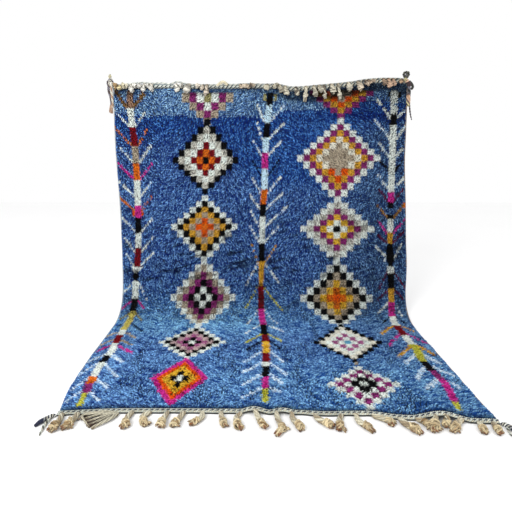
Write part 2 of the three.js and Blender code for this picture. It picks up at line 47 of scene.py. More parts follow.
MM = 0.001
HANG_HEIGHT = 1.305  # from the ground to the top edge
SWEEP_LENGTH = 0.340  # cloth taken up by the bend between hanging and lying
SWEEP_STEPS = 200
HEADING_WIDTH = 0.022
GAP = 0.0003  # between pieces that touch
GROUND = -HANG_HEIGHT
UP = np.array((0.0, 0.0, 1.0))
OUT = np.array((0.0, -1.0, 0.0))

# Side edges: distance down, then how far left and right of the middle they lie.
SIDE_EDGES = (
    (0, -805, 785),
    (300, -810, 790),
    (420, -808, 793),
    (640, -803, 811),
    (860, -804, 826),
    (1030, -808, 840),
    (1300, -818, 838),
    (1520, -815, 825),
    (1650, -813, 830),
    (1800, -811, 832),
    (2060, -795, 834),
    (2210, -768, 838),
)
# Top edge: distance across, then its rise above the origin. It sags between the points that hold it.
TOP_EDGE = (
    (-802, -5), (-600, 2), (-300, -1), (60, 0), (157, -14),
    (310, -4), (460, 9), (590, 26), (735, 28), (790, 20),
)
# Front end of the pile on the ground: distance across, then its distance forward of the hanging plane.
FRONT_END = (
    (-768, 956), (-600, 943), (-430, 940), (-110, 944), (20, 949), (130, 951),
    (200, 958), (386, 958), (488, 979), (643, 988), (735, 999), (836, 1005),
)
# Low buckles that lift the front end: distance across, lift, half width, and reach behind the end.
BUCKLES = ((-40, 12, 55, 110), (64, 9, 50, 90), (640, 20, 110, 200))
# Shallow upright swells of the hanging cloth: distance across, how far out, and half width.
SWELLS = ((-520, 9, 260), (70, 6, 240), (560, 10, 250))


def along(table, at, column=1):
    """A smooth curve through one column of a table, read at places given in its first column."""
    rows = np.asarray(table, float)
    places = rows[:, 0]
    values = rows[:, column]
    last = len(rows) - 1
    before = np.maximum(np.arange(last + 1) - 1, 0)
    after = np.minimum(np.arange(last + 1) + 1, last)
    slopes = (values[after] - values[before]) / (places[after] - places[before])
    at = np.asarray(at, float)
    k = np.searchsorted(places[1:-1], at)
    span = places[k + 1] - places[k]
    t = np.clip((at - places[k]) / span, 0, 1)
    rise = values[k + 1] - values[k]
    start_pull = slopes[k] * span - rise
    end_pull = rise - slopes[k + 1] * span
    return values[k] + t * rise + t * (1 - t) * ((1 - t) * start_pull + t * end_pull)


def metres(table, at, column=1):
    """A smooth curve through a table in millimetres, read and given in metres."""
    return along(table, np.asarray(at) / MM, column) * MM


def bump(distance, half_width):
    """A smooth bump, 1 in the middle and 0 from one half width outwards."""
    t = np.minimum(np.abs(distance) / half_width, 1)
    return (1 - t * t) ** 2


sweep_middles = (np.arange(SWEEP_STEPS) + 0.5) / SWEEP_STEPS
sweep_turns = np.pi / 2 * sweep_middles**2 * (3 - 2 * sweep_middles)
sweep_step = SWEEP_LENGTH / SWEEP_STEPS
sweep_stops = np.linspace(0, 1, SWEEP_STEPS + 1)
sweep_forward = np.append(0, np.cumsum(np.sin(sweep_turns))) * sweep_step
sweep_down = np.append(0, np.cumsum(np.cos(sweep_turns))) * sweep_step
SWEEP_EXTENT = sweep_forward[-1]
HANGING_LENGTH = HANG_HEIGHT - SWEEP_EXTENT
LYING_START = HANGING_LENGTH + SWEEP_LENGTH
CLOTH_END = SIDE_EDGES[-1][0] * MM


def pile_start(across):
    """Distance down the cloth at which the pile starts, below the top heading."""
    return HEADING_WIDTH + GAP - metres(TOP_EDGE, across)


def pile_end(across):
    """Distance down the cloth at which the pile ends, at the front heading."""
    return metres(FRONT_END, across) - SWEEP_EXTENT + LYING_START


def across_at(share, down):
    """Distance across the cloth at a share of its width."""
    left = metres(SIDE_EDGES, down, 1)
    return left + share * (metres(SIDE_EDGES, down, 2) - left)


def weave_place(share, run):
    """Distances across and down the pile, at a share of its width and a share of its length."""
    plain = run * CLOTH_END
    start = pile_start(across_at(share, 0))
    end = pile_end(across_at(share, CLOTH_END))
    hanging = start + (HANGING_LENGTH - start) * np.minimum(plain / HANGING_LENGTH, 1)
    lying = np.maximum(plain - LYING_START, 0) / (CLOTH_END - LYING_START) * (end - LYING_START)
    down = hanging + np.clip(plain - HANGING_LENGTH, 0, SWEEP_LENGTH) + lying
    return across_at(share, plain), down


def swell(across, down):
    """How far the hanging cloth stands forward of its plane."""
    arch = np.sin(np.pi * np.clip(down / HANGING_LENGTH, 0, 1))
    return sum(out * MM * arch * bump(across - middle * MM, half * MM) for middle, out, half in SWELLS)


def lift(across, behind_front):
    """How far the buckles lift the cloth off the ground."""
    total = 0
    for middle, height, half, reach in BUCKLES:
        total = total + height * MM * bump(behind_front, reach * MM) * bump(across - middle * MM, half * MM)
    return total


def on_cloth(across, down, height):
    """Places at distances across and down the cloth, and a height above its back."""
    part = np.clip((down - HANGING_LENGTH) / SWEEP_LENGTH, 0, 1)
    turn = np.pi / 2 * part**2 * (3 - 2 * part)
    forward = np.interp(part, sweep_stops, sweep_forward) + np.maximum(down - LYING_START, 0)
    drop = np.minimum(down, HANGING_LENGTH) + np.interp(part, sweep_stops, sweep_down)
    raised = lift(across, metres(FRONT_END, across) - forward)
    places = np.empty(np.broadcast(across, down, height).shape + (3,))
    places[..., 0] = across
    places[..., 1] = -forward - swell(across, down) - height * np.cos(turn)
    places[..., 2] = raised - drop + height * np.sin(turn)
    return places


LATTICE = (331, 337)  # random heights that the waves run through before they repeat, across and down
LATTICE_SHIFT = (2, 1)


def drift(across, down, size, seed):
    """Smooth waves between -1 and 1 over the cloth, as large as a size across and a size down."""
    heights = np.random.default_rng(seed).uniform(-1, 1, LATTICE)
    u = (across + LATTICE_SHIFT[0]) / size[0]
    v = (down + LATTICE_SHIFT[1]) / size[1]
    i = np.floor(u).astype(int)
    j = np.floor(v).astype(int)
    fu = u - i
    fv = v - j
    fu = fu * fu * (3 - 2 * fu)
    fv = fv * fv * (3 - 2 * fv)

    def value(di, dj):
        return heights[(i + di) % LATTICE[0], (j + dj) % LATTICE[1]]

    upper = value(0, 0) * (1 - fu) + value(1, 0) * fu
    lower = value(0, 1) * (1 - fu) + value(1, 1) * fu
    return upper * (1 - fv) + lower * fv


# The weaver's chart. Two columns of stepped lozenges stand between three stems with slanting arms, on a
# blue ground whose dye lots change in bands. All distances are millimetres across and down the cloth.

# Each wool, from its darkest to its lightest strands.
DYES = {
    "ground": ("#041e6e", "#86bef8"),
    "denim": ("#204a88", "#aedaf6"),
    "white": ("#c6d2ce", "#f4f8f0"),
    "pale": ("#8fb6da", "#f0f8fa"),
    "ice": ("#aacbd9", "#dcf3ff"),
    "cream": ("#cfcdbc", "#f3f1e6"),
    "grey": ("#7f7c70", "#ecece2"),
    "black": ("#020203", "#0c0e13"),
    "dark red": ("#4d0610", "#8e1822"),
    "maroon": ("#2a0c24", "#702246"),
    "orange": ("#b4460c", "#f08426"),
    "red orange": ("#c43a08", "#f06a18"),
    "ochre": ("#a67212", "#eab846"),
    "yellow": ("#bc8814", "#f4cc4a"),
    "magenta": ("#a0146c", "#e440a8"),
    "purple": ("#661550", "#a03e84"),
    "mauve": ("#84386c", "#bc78a0"),
    "rose": ("#9a8286", "#d0bab6"),
    # Painted shade of the ground towards the right edge.
    "shaded_ground": ("#03205c", "#86b6e4"),
    "royal": ("#041e6e", "#5fa3ed"),
    # Painted sheen of the ground at the bend, and its paler haze at the front.
    "sheen_and_haze": ("#064a98", "#a4e2ff"),
    "lemon": ("#a4963c", "#e8da7c"),
    "rust": ("#98440e", "#e6863a"),
    "tan": ("#7a6b59", "#ccc0aa"),
    "umber": ("#5e4232", "#b8957c"),
    "dark brown": ("#2e2418", "#a0794a"),
    "olive": ("#686439", "#b8b37e"),
    "yellow green": ("#8c8c1c", "#dad858"),
    "brown": ("#6a4620", "#b88a4c"),
    "sky": ("#3c82a8", "#90cadc"),
}


def linear(code):
    """The light in a colour written as on a dye card."""
    channels = np.array([int(code[n : n + 2], 16) / 255 for n in (1, 3, 5)])
    return np.where(channels > 0.04045, ((channels + 0.055) / 1.055) ** 2.4, channels / 12.92)


dye_names = list(DYES)
dye_dark = np.array([linear(pair[0]) for pair in DYES.values()])
dye_light = np.array([linear(pair[1]) for pair in DYES.values()])

# The middle lines of the two columns: distance down, then distance across.
LEFT_COLUMN = (
    (0, -292), (202, -300), (406, -312), (776, -326), (1200, -342), (1440, -350), (1976, -357), (2170, -363),
)
RIGHT_COLUMN = (
    (0, 424), (190, 427), (391, 421), (789, 426), (1205, 434), (1440, 428), (1642, 424), (2019, 411),
    (2176, 394),
)
# Lozenges: column, distance down to the centre, width of a cell, its height above and below the centre,
# the first row that is woven, and the dyes of the rings from the outermost to the centre.
WHOLE = -9
LOWER_HALF = 0
STRAIGHT = -99  # whole, and its outer rings have straight sides
STRAIGHT_CELLS = 1.06  # how much closer those rings stand than steps would
STRAIGHT_RING = 2  # the innermost of them, where the outermost is 0
LOZENGES = (
    (LEFT_COLUMN, 74, 39.5, 62, 41, LOWER_HALF, ("tan", "purple", "white", "olive")),
    (LEFT_COLUMN, 406, 33, 41, 34, WHOLE, ("black", "grey", "white", "dark red", "orange", "black")),
    (LEFT_COLUMN, 776, 34, 32, 40, WHOLE, ("white", "black", "ochre", "tan", "red orange", "orange")),
    (LEFT_COLUMN, 1200, 34, 45, 46, WHOLE, ("white", "tan", "purple", "black", "white", "black")),
    (LEFT_COLUMN, 1638, 30, 37, 32, WHOLE, ("white", "black", "rose", "mauve", "black", "white")),
    (LEFT_COLUMN, 1974, 26, 38, 42, STRAIGHT, ("magenta", "red orange", "yellow", "black", "white")),
    (RIGHT_COLUMN, 46, 38, 30, 30, LOWER_HALF, ("purple", "ochre", "red orange", "tan", "tan")),
    (RIGHT_COLUMN, 391, 35, 33, 39, WHOLE, ("white", "purple", "ochre", "cream", "tan", "tan", "tan")),
    (RIGHT_COLUMN, 789, 38, 33, 37, WHOLE, ("white", "grey", "purple", "yellow", "white", "black")),
    (RIGHT_COLUMN, 1205, 38, 45, 46, WHOLE, ("white", "black", "tan", "yellow", "orange", "red orange")),
    (RIGHT_COLUMN, 1642, 31, 41, 36, WHOLE, ("black", "cream", "white", "mauve", "white", "sky")),
    (RIGHT_COLUMN, 2019, 33, 32, 39, WHOLE, ("white", "purple", "white", "black", "white")),
)
# Stems. Each has the middle line of its spine, half the spine's width, the spine's sections from the top
# down with the dye of each, and its arms: dye, distance down to the foot, then how far the left arm
# reaches and rises, and how far the right arm does. A falling arm has a negative rise.
LEFT_STEM = {
    "line": (
        (0, -708), (124, -714), (330, -698), (560, -696), (813, -703), (1007, -718), (1060, -730),
        (1390, -740), (1640, -733), (1720, -725), (1900, -729), (2090, -711), (2190, -699),
    ),
    "half": ((0, 18), (1012, 18), (1013, 34), (1048, 12), (1073, 20), (1096, 10), (1097, 19),
             (2080, 17), (2092, 10), (2174, 13)),
    "sections": (
        (31, "umber"), (124, "white"), (225, "dark red"), (327, "tan"), (419, "orange"), (513, "white"),
        (656, "magenta"), (727, "black"), (813, "white"), (901, "dark red"), (1013, "white"),
        (1049, "black"), (1097, "white"), (1210, "black"), (1292, "lemon"), (1492, "white"),
        (1549, "dark red"), (1650, "white"), (1774, "black"), (1840, "white"), (1960, "orange"),
        (2012, "purple"), (2085, "yellow green"), (2172, None),
    ),
    "arms": (
        ("dark brown", 102, 86, 88, 68, 60), ("dark brown", 111, 88, 88, 72, 60),
        ("dark brown", 120, 88, 90, 76, 62),
        ("white", 210, 89, 72, 80, 66), ("rust", 315, 97, 88, 77, 76),
        ("white", 406, 78, 66, 87, 80), ("magenta", 499, 98, 73, 91, 78), ("white", 594, 100, 70, 80, 70),
        ("rust", 678, 97, 62, 82, 80), ("white", 797, 87, 67, 84, 71), ("white", 916, 84, 82, 88, 83),
        ("white", 998, 74, 70, 90, 70), ("white", 1122, 78, -56, 66, -88),
        ("magenta", 1228, 69, -45, 64, -49), ("olive", 1315, 57, -43, 75, -65),
        ("black", 1415, 51, -45, 103, -95), ("tan", 1530, 71, -40, 88, -58), ("tan", 1620, 65, -43, 96, -50),
        ("magenta", 1685, 68, -44, 100, -58), ("pale", 1780, 71, -50, 88, -54),
        ("pale", 1866, 66, -76, 98, -86), ("pale", 1989, 62, -78, 82, -58), ("pale", 2085, 60, -60, 66, -48),
    ),
}
CENTRE_STEM = {
    "line": (
        (0, 45), (107, 39), (202, 28), (363, 18), (563, 12), (718, 3), (980, -2), (1272, -4),
        (1426, 6), (1639, 14), (1885, 9), (2062, 3), (2200, 1),
    ),
    "half": ((0, 18), (980, 17), (1122, 13), (1128, 17), (1426, 18), (1846, 18), (2065, 13), (2165, 13)),
    "sections": (
        (44, "black"), (107, "ice"), (202, "black"), (281, "ice"), (363, "magenta"), (450, "ice"),
        (565, "orange"), (649, "black"), (718, "white"), (873, "black"), (980, "ochre"), (1128, "dark red"),
        (1275, "magenta"), (1426, "black"), (1547, "dark red"), (1630, "yellow"), (1750, "dark red"),
        (1837, "white"), (1875, "black"), (1961, "magenta"), (2051, "yellow green"), (2151, None),
    ),
    "arms": (
        ("white", 182, 72, 83, 79, 71), ("white", 278, 64, 94, 91, 73), ("white", 369, 73, 76, 79, 64),
        ("black", 480, 73, 83, 77, 74), ("white", 576, 72, 79, 94, 86),
        ("white", 666, 84, 79, 97, 72), ("white", 767, 72, 87, 128, 99), ("white", 854, 69, 81, 94, 81),
        ("ochre", 978, 58, 103, 79, 90), ("white", 1001, 89, -124, 106, -111),
        ("yellow green", 1148, 93, -127, 120, -131), ("white", 1293, 88, -124, 81, -118),
        ("white", 1438, 102, -92, 103, -74), ("yellow green", 1554, 99, -88, 84, -75),
        ("black", 1634, 91, -84, 84, -94), ("pale", 1744, 98, -92, 81, -92),
        ("pale", 1852, 102, -74, 89, -88), ("pale", 1949, 88, -68, 73, -72), ("pale", 2055, 94, -70, 60, -22),
    ),
}
RIGHT_STEM = {
    "line": (
        (0, 708), (154, 712), (579, 720), (731, 726), (874, 729), (1007, 741), (1144, 752), (1228, 752),
        (1330, 739), (1433, 732), (1661, 736), (1700, 740), (1830, 727), (2013, 745), (2141, 728),
        (2220, 712),
    ),
    "half": ((0, 19), (810, 17), (876, 14), (964, 26), (1007, 12), (1010, 19), (1229, 18), (1560, 19),
             (1700, 20), (2140, 15), (2207, 11)),
    "sections": (
        (31, "white"), (155, "black"), (214, "white"), (579, "magenta"), (638, "black"), (672, None),
        (709, "black"), (732, "white"), (810, "ochre"), (876, "black"), (1010, "white"), (1053, "black"),
        (1145, "ochre"), (1229, "magenta"), (1332, "white"), (1436, "dark red"), (1560, "white"),
        (1663, "yellow green"), (1831, "black"), (1911, "purple"), (1988, "magenta"),
        (2147, "yellow green"), (2207, None),
    ),
    "arms": (
        ("white", 167, 86, 78, 62, 31), ("white", 278, 97, 86, 67, 58),
        ("white", 376, 84, 72, 58, 37), ("black", 452, 80, 55, 61, 47), ("white", 550, 84, 70, 73, 52),
        ("maroon", 621, 71, 57, 73, 58), ("brown", 716, 80, 62, 73, 64), ("magenta", 805, 73, 68, 78, 66),
        ("maroon", 862, 72, 38, 79, 58), ("white", 954, 78, 61, 72, 77), ("white", 994, 34, 26, 32, 23),
        ("maroon", 1054, 66, -84, 76, -77), ("maroon", 1160, 81, -59, 74, -53),
        ("white", 1242, 83, -72, 55, -85), ("black", 1343, 64, -63, 59, -69),
        ("ochre", 1446, 117, -100, 72, -73), ("magenta", 1552, 112, -112, 84, -111),
        ("ochre", 1690, 105, -99, 74, -84), ("pale", 1776, 88, -71, 74, -85),
        ("pale", 1890, 100, -87, 70, -67), ("pale", 1994, 88, -56, 46, -52),
    ),
}
# Odd cells: the line they follow, distance down and across from it, width, height and dye.
ODD_CELLS = (
    (RIGHT_COLUMN, 469, -35, 35, 39, "red orange"),
    (RIGHT_COLUMN, 469, 35, 35, 39, "red orange"),
    (RIGHT_COLUMN, 508, 0, 35, 39, "red orange"),
    (RIGHT_COLUMN, 1848, 0, 16, 26, "tan"),
    (RIGHT_COLUMN, 2016, 0, 108, 50, "black"),
    (RIGHT_COLUMN, 2016, 0, 56, 100, "black"),
    (RIGHT_COLUMN, 2016, 0, 32, 32, "white"),
    (CENTRE_STEM["line"], 68, -28, 19, 38, "olive"),
    (CENTRE_STEM["line"], 68, 30, 19, 38, "olive"),
    (RIGHT_STEM["line"], 53, -27, 15, 26, "black"),
    (RIGHT_STEM["line"], 53, 29, 20, 26, "black"),
    (RIGHT_STEM["line"], 105, 8, 22, 8, "denim"),
    (LEFT_STEM["line"], 702, -24, 13, 30, "red orange"),
    (LEFT_STEM["line"], 702, 25, 13, 26, "red orange"),
    (RIGHT_STEM["line"], 655, 82, 22, 30, "orange"),
)
# Arms are knotted in steps out from their stem. Each step is a little uneven, and they are taller where
# the cloth lies and at its right edge.
ARM_FOOT = 25  # from a spine's middle to the foot of its arms
ARM_CELL = 11.0  # width of a step
ARM_ENDS = (-0.1, 1.04)  # where an arm starts and ends, as shares of its reach
ARM_HALVES = (8.0, 11.5)  # half the height of a step, where the cloth hangs and where it lies
ARM_GROWS = (1300, 1600)  # distances down between the two
EDGE_GROWTH = 0.25
EDGE_GROWS = (500, 700)  # distances across
ARM_WAVES = ((13, 13), 29)  # size and seed of the uneven patches along an arm
ARM_UNEVEN = 0.35  # share of its height that a step gains or loses there
ARM_GAP = -0.66  # in patches under this, the ground's wool is left
ARM_PALE = -0.2  # in patches under this, a white arm is pale
# Dye lots of the ground: distance down, then how light the blue is there.
DYE_LOTS = (
    (0, 0.27), (145, 0.27), (170, 0.19), (330, 0.19), (470, 0.24), (580, 0.26), (690, 0.25), (840, 0.24),
    (1000, 0.28), (1120, 0.28), (1220, 0.32), (1320, 0.40), (1500, 0.43), (1950, 0.46), (2100, 0.45),
    (2230, 0.28),
)
UNEVEN_LOTS = ((0.05, (420, 26), 5), (0.04, (90, 60), 6))  # strength of each, its size and its seed
# Patches that are lighter, or darker under 0: by how much, then the middle and half size across and down.
PATCHES = (
    (0.30, -520, 130, 26, 42),
    (0.16, -350, 520, 1365, 230),
    (0.09, -640, 480, 1650, 300),
    (-0.09, 250, 330, 1750, 380),
)
# The upper right is darker: by how much, where that grows across, and its middle and half size down.
DARK_CORNER = 0.19
DARK_ACROSS = (300, 440)
DARK_DOWN = (126, 90)
DARKEST_LOT = 0.02
# Down to here the ground is greyer: distance across, then distance down.
DENIM_END = (
    (-810, 142), (-620, 158), (-450, 165), (-80, 169), (40, 168), (130, 140), (330, 132), (400, 100),
    (560, 88), (800, 98),
)
DENIM_WAVES = ((90, 100), 7)
DENIM_STRAY = (4, 2.5)  # how far the end wanders in those waves, and from knot to knot
# Painted shade: the ground is greyer and darker towards the right edge: distance across or down, then the
# share of that darker blue.
SHADED_GROUND_ACROSS = ((-820, 0), (280, 0), (640, 1), (840, 1))
SHADED_GROUND_DOWN = ((0, 1), (1300, 1), (1900, 0.5), (2300, 0.5))
# Down to here it is a deeper royal blue, which then fades out: distance across, then distance down.
ROYAL_END = ((-820, 350), (-400, 360), (0, 600), (380, 600), (520, 300), (840, 200))
ROYAL_FADE = 120
# Where the cloth bends it is paler and hazier as a painted sheen, and at the front it is paler and hazier
# too: distance across, then that wool's share.
BEND_SHEEN = ((-820, 0.85), (-100, 1.0), (120, 0.55), (400, 0.30), (840, 0.15))
BEND_SHEEN_DOWN = (1390, 310)  # its middle and half size
FRONT_HAZE = ((-820, 0.2), (-450, 0.2), (-150, 0.45), (300, 0.60), (600, 0.60), (840, 0.60))
FRONT_HAZE_DOWN = (1600, 1950)  # where it starts, and where it is full
# How uneven the wool is: that of the ground where the cloth hangs and where it lies, and all others.
GROUND_SPREAD = (0.90, 0.70)
SPREAD_CHANGES = (1200, 1500)
WOOL_SPREAD = 0.15
SPREAD_LOSS = 0.80  # takes back the light that an uneven ground would gain
DULL_GROUND = (0.92, 0.35)  # holds back its lightest knots


def wool(name):
    """The number of a wool among the dyes."""
    return dye_names.index(name)


def read(table, at):
    """Straight stretches through the second column of a table, read at places given in its first."""
    return np.interp(at, *np.transpose(table))


def ground_share(across, down):
    """How light the blue of the ground is, in the dye lot of each row."""
    share = along(DYE_LOTS, down)
    for strength, size, seed in UNEVEN_LOTS:
        share = share + strength * drift(across, down, size, seed)
    for strength, middle, half_width, row, half_height in PATCHES:
        share = share + strength * bump(across - middle, half_width) * bump(down - row, half_height)
    corner = np.interp(across, DARK_ACROSS, (0, 1)) * bump(down - DARK_DOWN[0], DARK_DOWN[1])
    return np.maximum(share - DARK_CORNER * corner, DARKEST_LOT)


def chart_stems(dye, across, down):
    """Knots the arms of each stem, and then its spine."""
    patch = drift(across, down, *ARM_WAVES)
    arm_half = np.interp(down, ARM_GROWS, ARM_HALVES) * (1 + ARM_UNEVEN * patch)
    arm_half = arm_half * (1 + EDGE_GROWTH * np.interp(across, EDGE_GROWS, (0, 1)))
    for stem in (LEFT_STEM, CENTRE_STEM, RIGHT_STEM):
        side = across - along(stem["line"], down)
        for name, foot, left_reach, left_rise, right_reach, right_rise in stem["arms"]:
            for out, reach, rise in ((-side, left_reach, left_rise), (side, right_reach, right_rise)):
                part = (np.round(out / ARM_CELL) * ARM_CELL - ARM_FOOT) / (reach - ARM_FOOT)
                step = np.abs(down - foot + rise * part) < arm_half
                step = step & (part > ARM_ENDS[0]) & (part < ARM_ENDS[1]) & (patch > ARM_GAP)
                dye[step] = wool(name)
                if name == "white":
                    dye[step & (patch < ARM_PALE)] = wool("pale")
        starts, names = zip(*stem["sections"])
        section = np.searchsorted(starts, down) - 1
        codes = np.array([wool(name) if name else -1 for name in names])
        spine = (np.abs(side) < read(stem["half"], down)) & (section >= 0) & (codes[section] >= 0)
        dye[spine] = codes[section][spine]


def chart_lozenges(dye, across, down):
    """Knots the lozenges cell by cell, in rings of one wool."""
    for column, centre, width, above, below, first_row, rings in LOZENGES:
        from_centre = down - centre
        height = np.where(from_centre < 0, above, below)
        beside = across - along(column, down)
        row = np.round(from_centre / height).astype(int)
        ring = len(rings) - 1 - np.abs(row) - np.abs(np.round(beside / width).astype(int))
        if first_row == STRAIGHT:
            cells = np.abs(from_centre) / height + np.abs(beside) / width
            plain = np.floor(len(rings) - cells * STRAIGHT_CELLS).astype(int)
            ring = np.where(ring > STRAIGHT_RING, ring, np.minimum(plain, STRAIGHT_RING))
        codes = np.array([wool(name) for name in rings])
        inside = (ring >= 0) & (row >= first_row)
        dye[inside] = codes[ring[inside]]


def chart_odd_cells(dye, across, down):
    for line, centre, beside, width, height, name in ODD_CELLS:
        off = np.abs(across - along(line, down) - beside)
        dye[(off < width / 2) & (np.abs(down - centre) < height / 2)] = wool(name)


def towards(light, name, share, weight):
    """Light from the ground, turned by a weight towards that of another wool."""
    other = dye_dark[wool(name)] * (1 - share) + dye_light[wool(name)] * share
    return light + (other - light) * weight[..., None]


def charted(across, down, mottle):
    """The light that the knots send back at places across and down the cloth, in metres. The mottle says
    how much lighter or darker than its lot the wool of each knot is spun, in steps of its usual spread. On
    the lying pile it also holds a painted shade in the gaps between its strokes."""
    across = across / MM
    down = down / MM
    denim_end = along(DENIM_END, across) + DENIM_STRAY[0] * drift(across, 0 * down, *DENIM_WAVES)
    dye = np.where(down < denim_end + DENIM_STRAY[1] * mottle, wool("denim"), wool("ground"))
    chart_stems(dye, across, down)
    chart_lozenges(dye, across, down)
    chart_odd_cells(dye, across, down)
    spread = np.interp(down, SPREAD_CHANGES, GROUND_SPREAD)
    ground = ground_share(across, down) * np.exp(spread * mottle - spread**2 * SPREAD_LOSS)
    ground = ground / (DULL_GROUND[0] + DULL_GROUND[1] * ground)
    share = np.where(dye <= wool("denim"), ground, 0.5 + WOOL_SPREAD * mottle)
    share = np.clip(share, 0, 1)[..., None]
    light = dye_dark[dye] * (1 - share) + dye_light[dye] * share
    plain = dye == wool("ground")
    # Painted shade: the plain ground turns greyer and darker towards the right edge.
    light = towards(light, "shaded_ground", share, read(SHADED_GROUND_ACROSS, across) * read(SHADED_GROUND_DOWN, down) * plain)
    royal = np.clip((read(ROYAL_END, across) - down) / ROYAL_FADE, 0, 1)
    light = towards(light, "royal", share, royal * plain)
    # Painted sheen where the cloth bends, and a paler haze at the front.
    sheen_and_haze = read(BEND_SHEEN, across) * bump(down - BEND_SHEEN_DOWN[0], BEND_SHEEN_DOWN[1])
    sheen_and_haze = sheen_and_haze + read(FRONT_HAZE, across) * np.interp(down, FRONT_HAZE_DOWN, (0, 1))
    return towards(light, "sheen_and_haze", share, sheen_and_haze * plain)


# The foundation: the woven sheet that the knots are tied on, in its own lie. On the back each knot shows
# as a small flat bar in its dye, between the ridges of the warps. On the front the pile hides it.

FOUNDATION_COLUMNS = 164
FOUNDATION_ROWS = 172
FOUNDATION_THICKNESS = 0.0075
FOUNDATION_EDGE = 0.005
EDGE_WIDTH = 0.022  # of the thinner strip along each side
WARP_PITCH = 0.0066
KNOT_PITCH = 0.0074
RIM_WOOL = "#8d8570"
BACK_LIGHT = 0.82  # share of the knots' light that the back sends back
SHADED_FACE_LIGHT = 0.30  # and the face: painted shade, as it lies deep under the pile
BACK_SPREAD = 0.5  # of the mottle on the back


def mesh_object(name, points, faces):
    """An object of the given points, with faces given as arrays that each have one number of corners."""
    corners = np.concatenate([face.ravel() for face in faces]).astype(np.int32)
    sizes = np.concatenate([np.full(len(face), face.shape[1]) for face in faces])
    starts = np.append(0, np.cumsum(sizes)[:-1]).astype(np.int32)
    mesh = bpy.data.meshes.new(name)
    mesh.vertices.add(len(points))
    mesh.vertices.foreach_set("co", np.asarray(points, np.float32).ravel())
    mesh.loops.add(len(corners))
    mesh.loops.foreach_set("vertex_index", corners)
    mesh.polygons.add(len(sizes))
    mesh.polygons.foreach_set("loop_start", starts)
    mesh.update(calc_edges=True)
    mesh.shade_smooth()
    piece = bpy.data.objects.new(name, mesh)
    bpy.context.collection.objects.link(piece)
    return piece


def dye_mesh(piece, light, domain="POINT"):
    """Stores the light of each point or corner on the piece."""
    layer = piece.data.color_attributes.new("dye", "FLOAT_COLOR", domain)
    colour = np.ones((len(light), 4), np.float32)
    colour[:, :3] = light
    layer.data.foreach_set("color", colour.ravel())


def map_mesh(piece, name, places):
    """Stores a flat place for each corner of the piece."""
    layer = piece.data.uv_layers.new(name=name)
    layer.uv.foreach_set("vector", np.asarray(places, np.float32).ravel())


class Wire:
    """A socket of a material that works in sums like a number."""

    def __init__(self, looks, socket):
        self.looks = looks
        self.socket = socket

    def sum_with(self, operation, first, second):
        return self.looks.node("ShaderNodeMath", {0: first, 1: second}, operation=operation)

    def __add__(self, other):
        return self.sum_with("ADD", self, other)

    def __radd__(self, other):
        return self.sum_with("ADD", other, self)

    def __mul__(self, other):
        return self.sum_with("MULTIPLY", self, other)

    def __rmul__(self, other):
        return self.sum_with("MULTIPLY", other, self)

    def __truediv__(self, other):
        return self.sum_with("DIVIDE", self, other)

    def __pow__(self, other):
        return self.sum_with("POWER", self, other)

    def wave(self):
        return self.sum_with("SINE", self, 0)


class Looks:
    """The material of one piece or of a group of like pieces."""

    def __init__(self, name):
        self.material = bpy.data.materials.new(name)
        self.material.use_nodes = True
        self.tree = self.material.node_tree
        self.surface = self.tree.nodes["Principled BSDF"]

    def node(self, kind, sockets=None, output=0, **settings):
        node = self.tree.nodes.new(kind)
        for setting, value in settings.items():
            setattr(node, setting, value)
        for place, value in (sockets or {}).items():
            self.plug(node.inputs[place], value)
        return Wire(self, node.outputs[output])

    def plug(self, socket, value):
        if isinstance(value, Wire):
            self.tree.links.new(value.socket, socket)
        else:
            socket.default_value = value

    def shade(self, **values):
        for name, value in values.items():
            self.plug(self.surface.inputs[name.replace("_", " ")], value)

    def dyed(self):
        """The dye that is stored on the piece."""
        return self.node("ShaderNodeAttribute", output="Color", attribute_name="dye")

    def mapped(self, name):
        """The two distances of a map of the piece."""
        place = self.node("ShaderNodeUVMap", uv_map=name)
        return [self.node("ShaderNodeSeparateXYZ", {0: place}, output=way) for way in (0, 1)]

    def grain(self, size, detail):
        """Fine cloudy grain of a size in metres, between 0 and 1."""
        place = self.node("ShaderNodeTexCoord", output="Object")
        return self.node("ShaderNodeTexNoise", {"Vector": place, "Scale": 1 / size, "Detail": detail})

    def brighten(self, colour, amount):
        return self.node("ShaderNodeVectorMath", {0: colour, "Scale": amount}, operation="SCALE")

    def relief(self, height, depth):
        return self.node("ShaderNodeBump", {"Height": height, "Distance": depth, "Strength": 1.0})

    def dress(self, piece):
        piece.data.materials.append(self.material)


def put_on(piece, looks, slot, *nodes):
    """Gives a piece its material, and puts it in the place of the plain solids that stand for it."""
    looks.dress(piece)
    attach(piece, "root")
    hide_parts(*nodes)


def edge_share(share, down):
    """How far into the thinner side strips a place lies: 1 at the edge and 0 past the strip."""
    width = metres(SIDE_EDGES, down, 2) - metres(SIDE_EDGES, down, 1)
    from_edge = np.minimum(share, 1 - share) * width
    t = np.clip(1 - from_edge / EDGE_WIDTH, 0, 1)
    return t * t * (3 - 2 * t)


def foundation_sheet(share, run, faces, offset, rim_count):
    """The back on the left half of the sheet, the face on the right half, and the rims in a strip."""
    corners = faces.ravel()
    number = corners % offset
    u = share.ravel()[number] * 0.48 + np.where(corners >= offset, 0.51, 0.01)
    v = run.ravel()[number] * 0.94 + 0.05
    rim = np.arange(rim_count)[:, None] + np.array([[1, 0, 0, 1]])
    u[-4 * rim_count :] = rim.ravel() / rim_count
    v[-4 * rim_count :] = np.tile((0.005, 0.005, 0.03, 0.03), rim_count)
    return np.stack([u, v], -1)


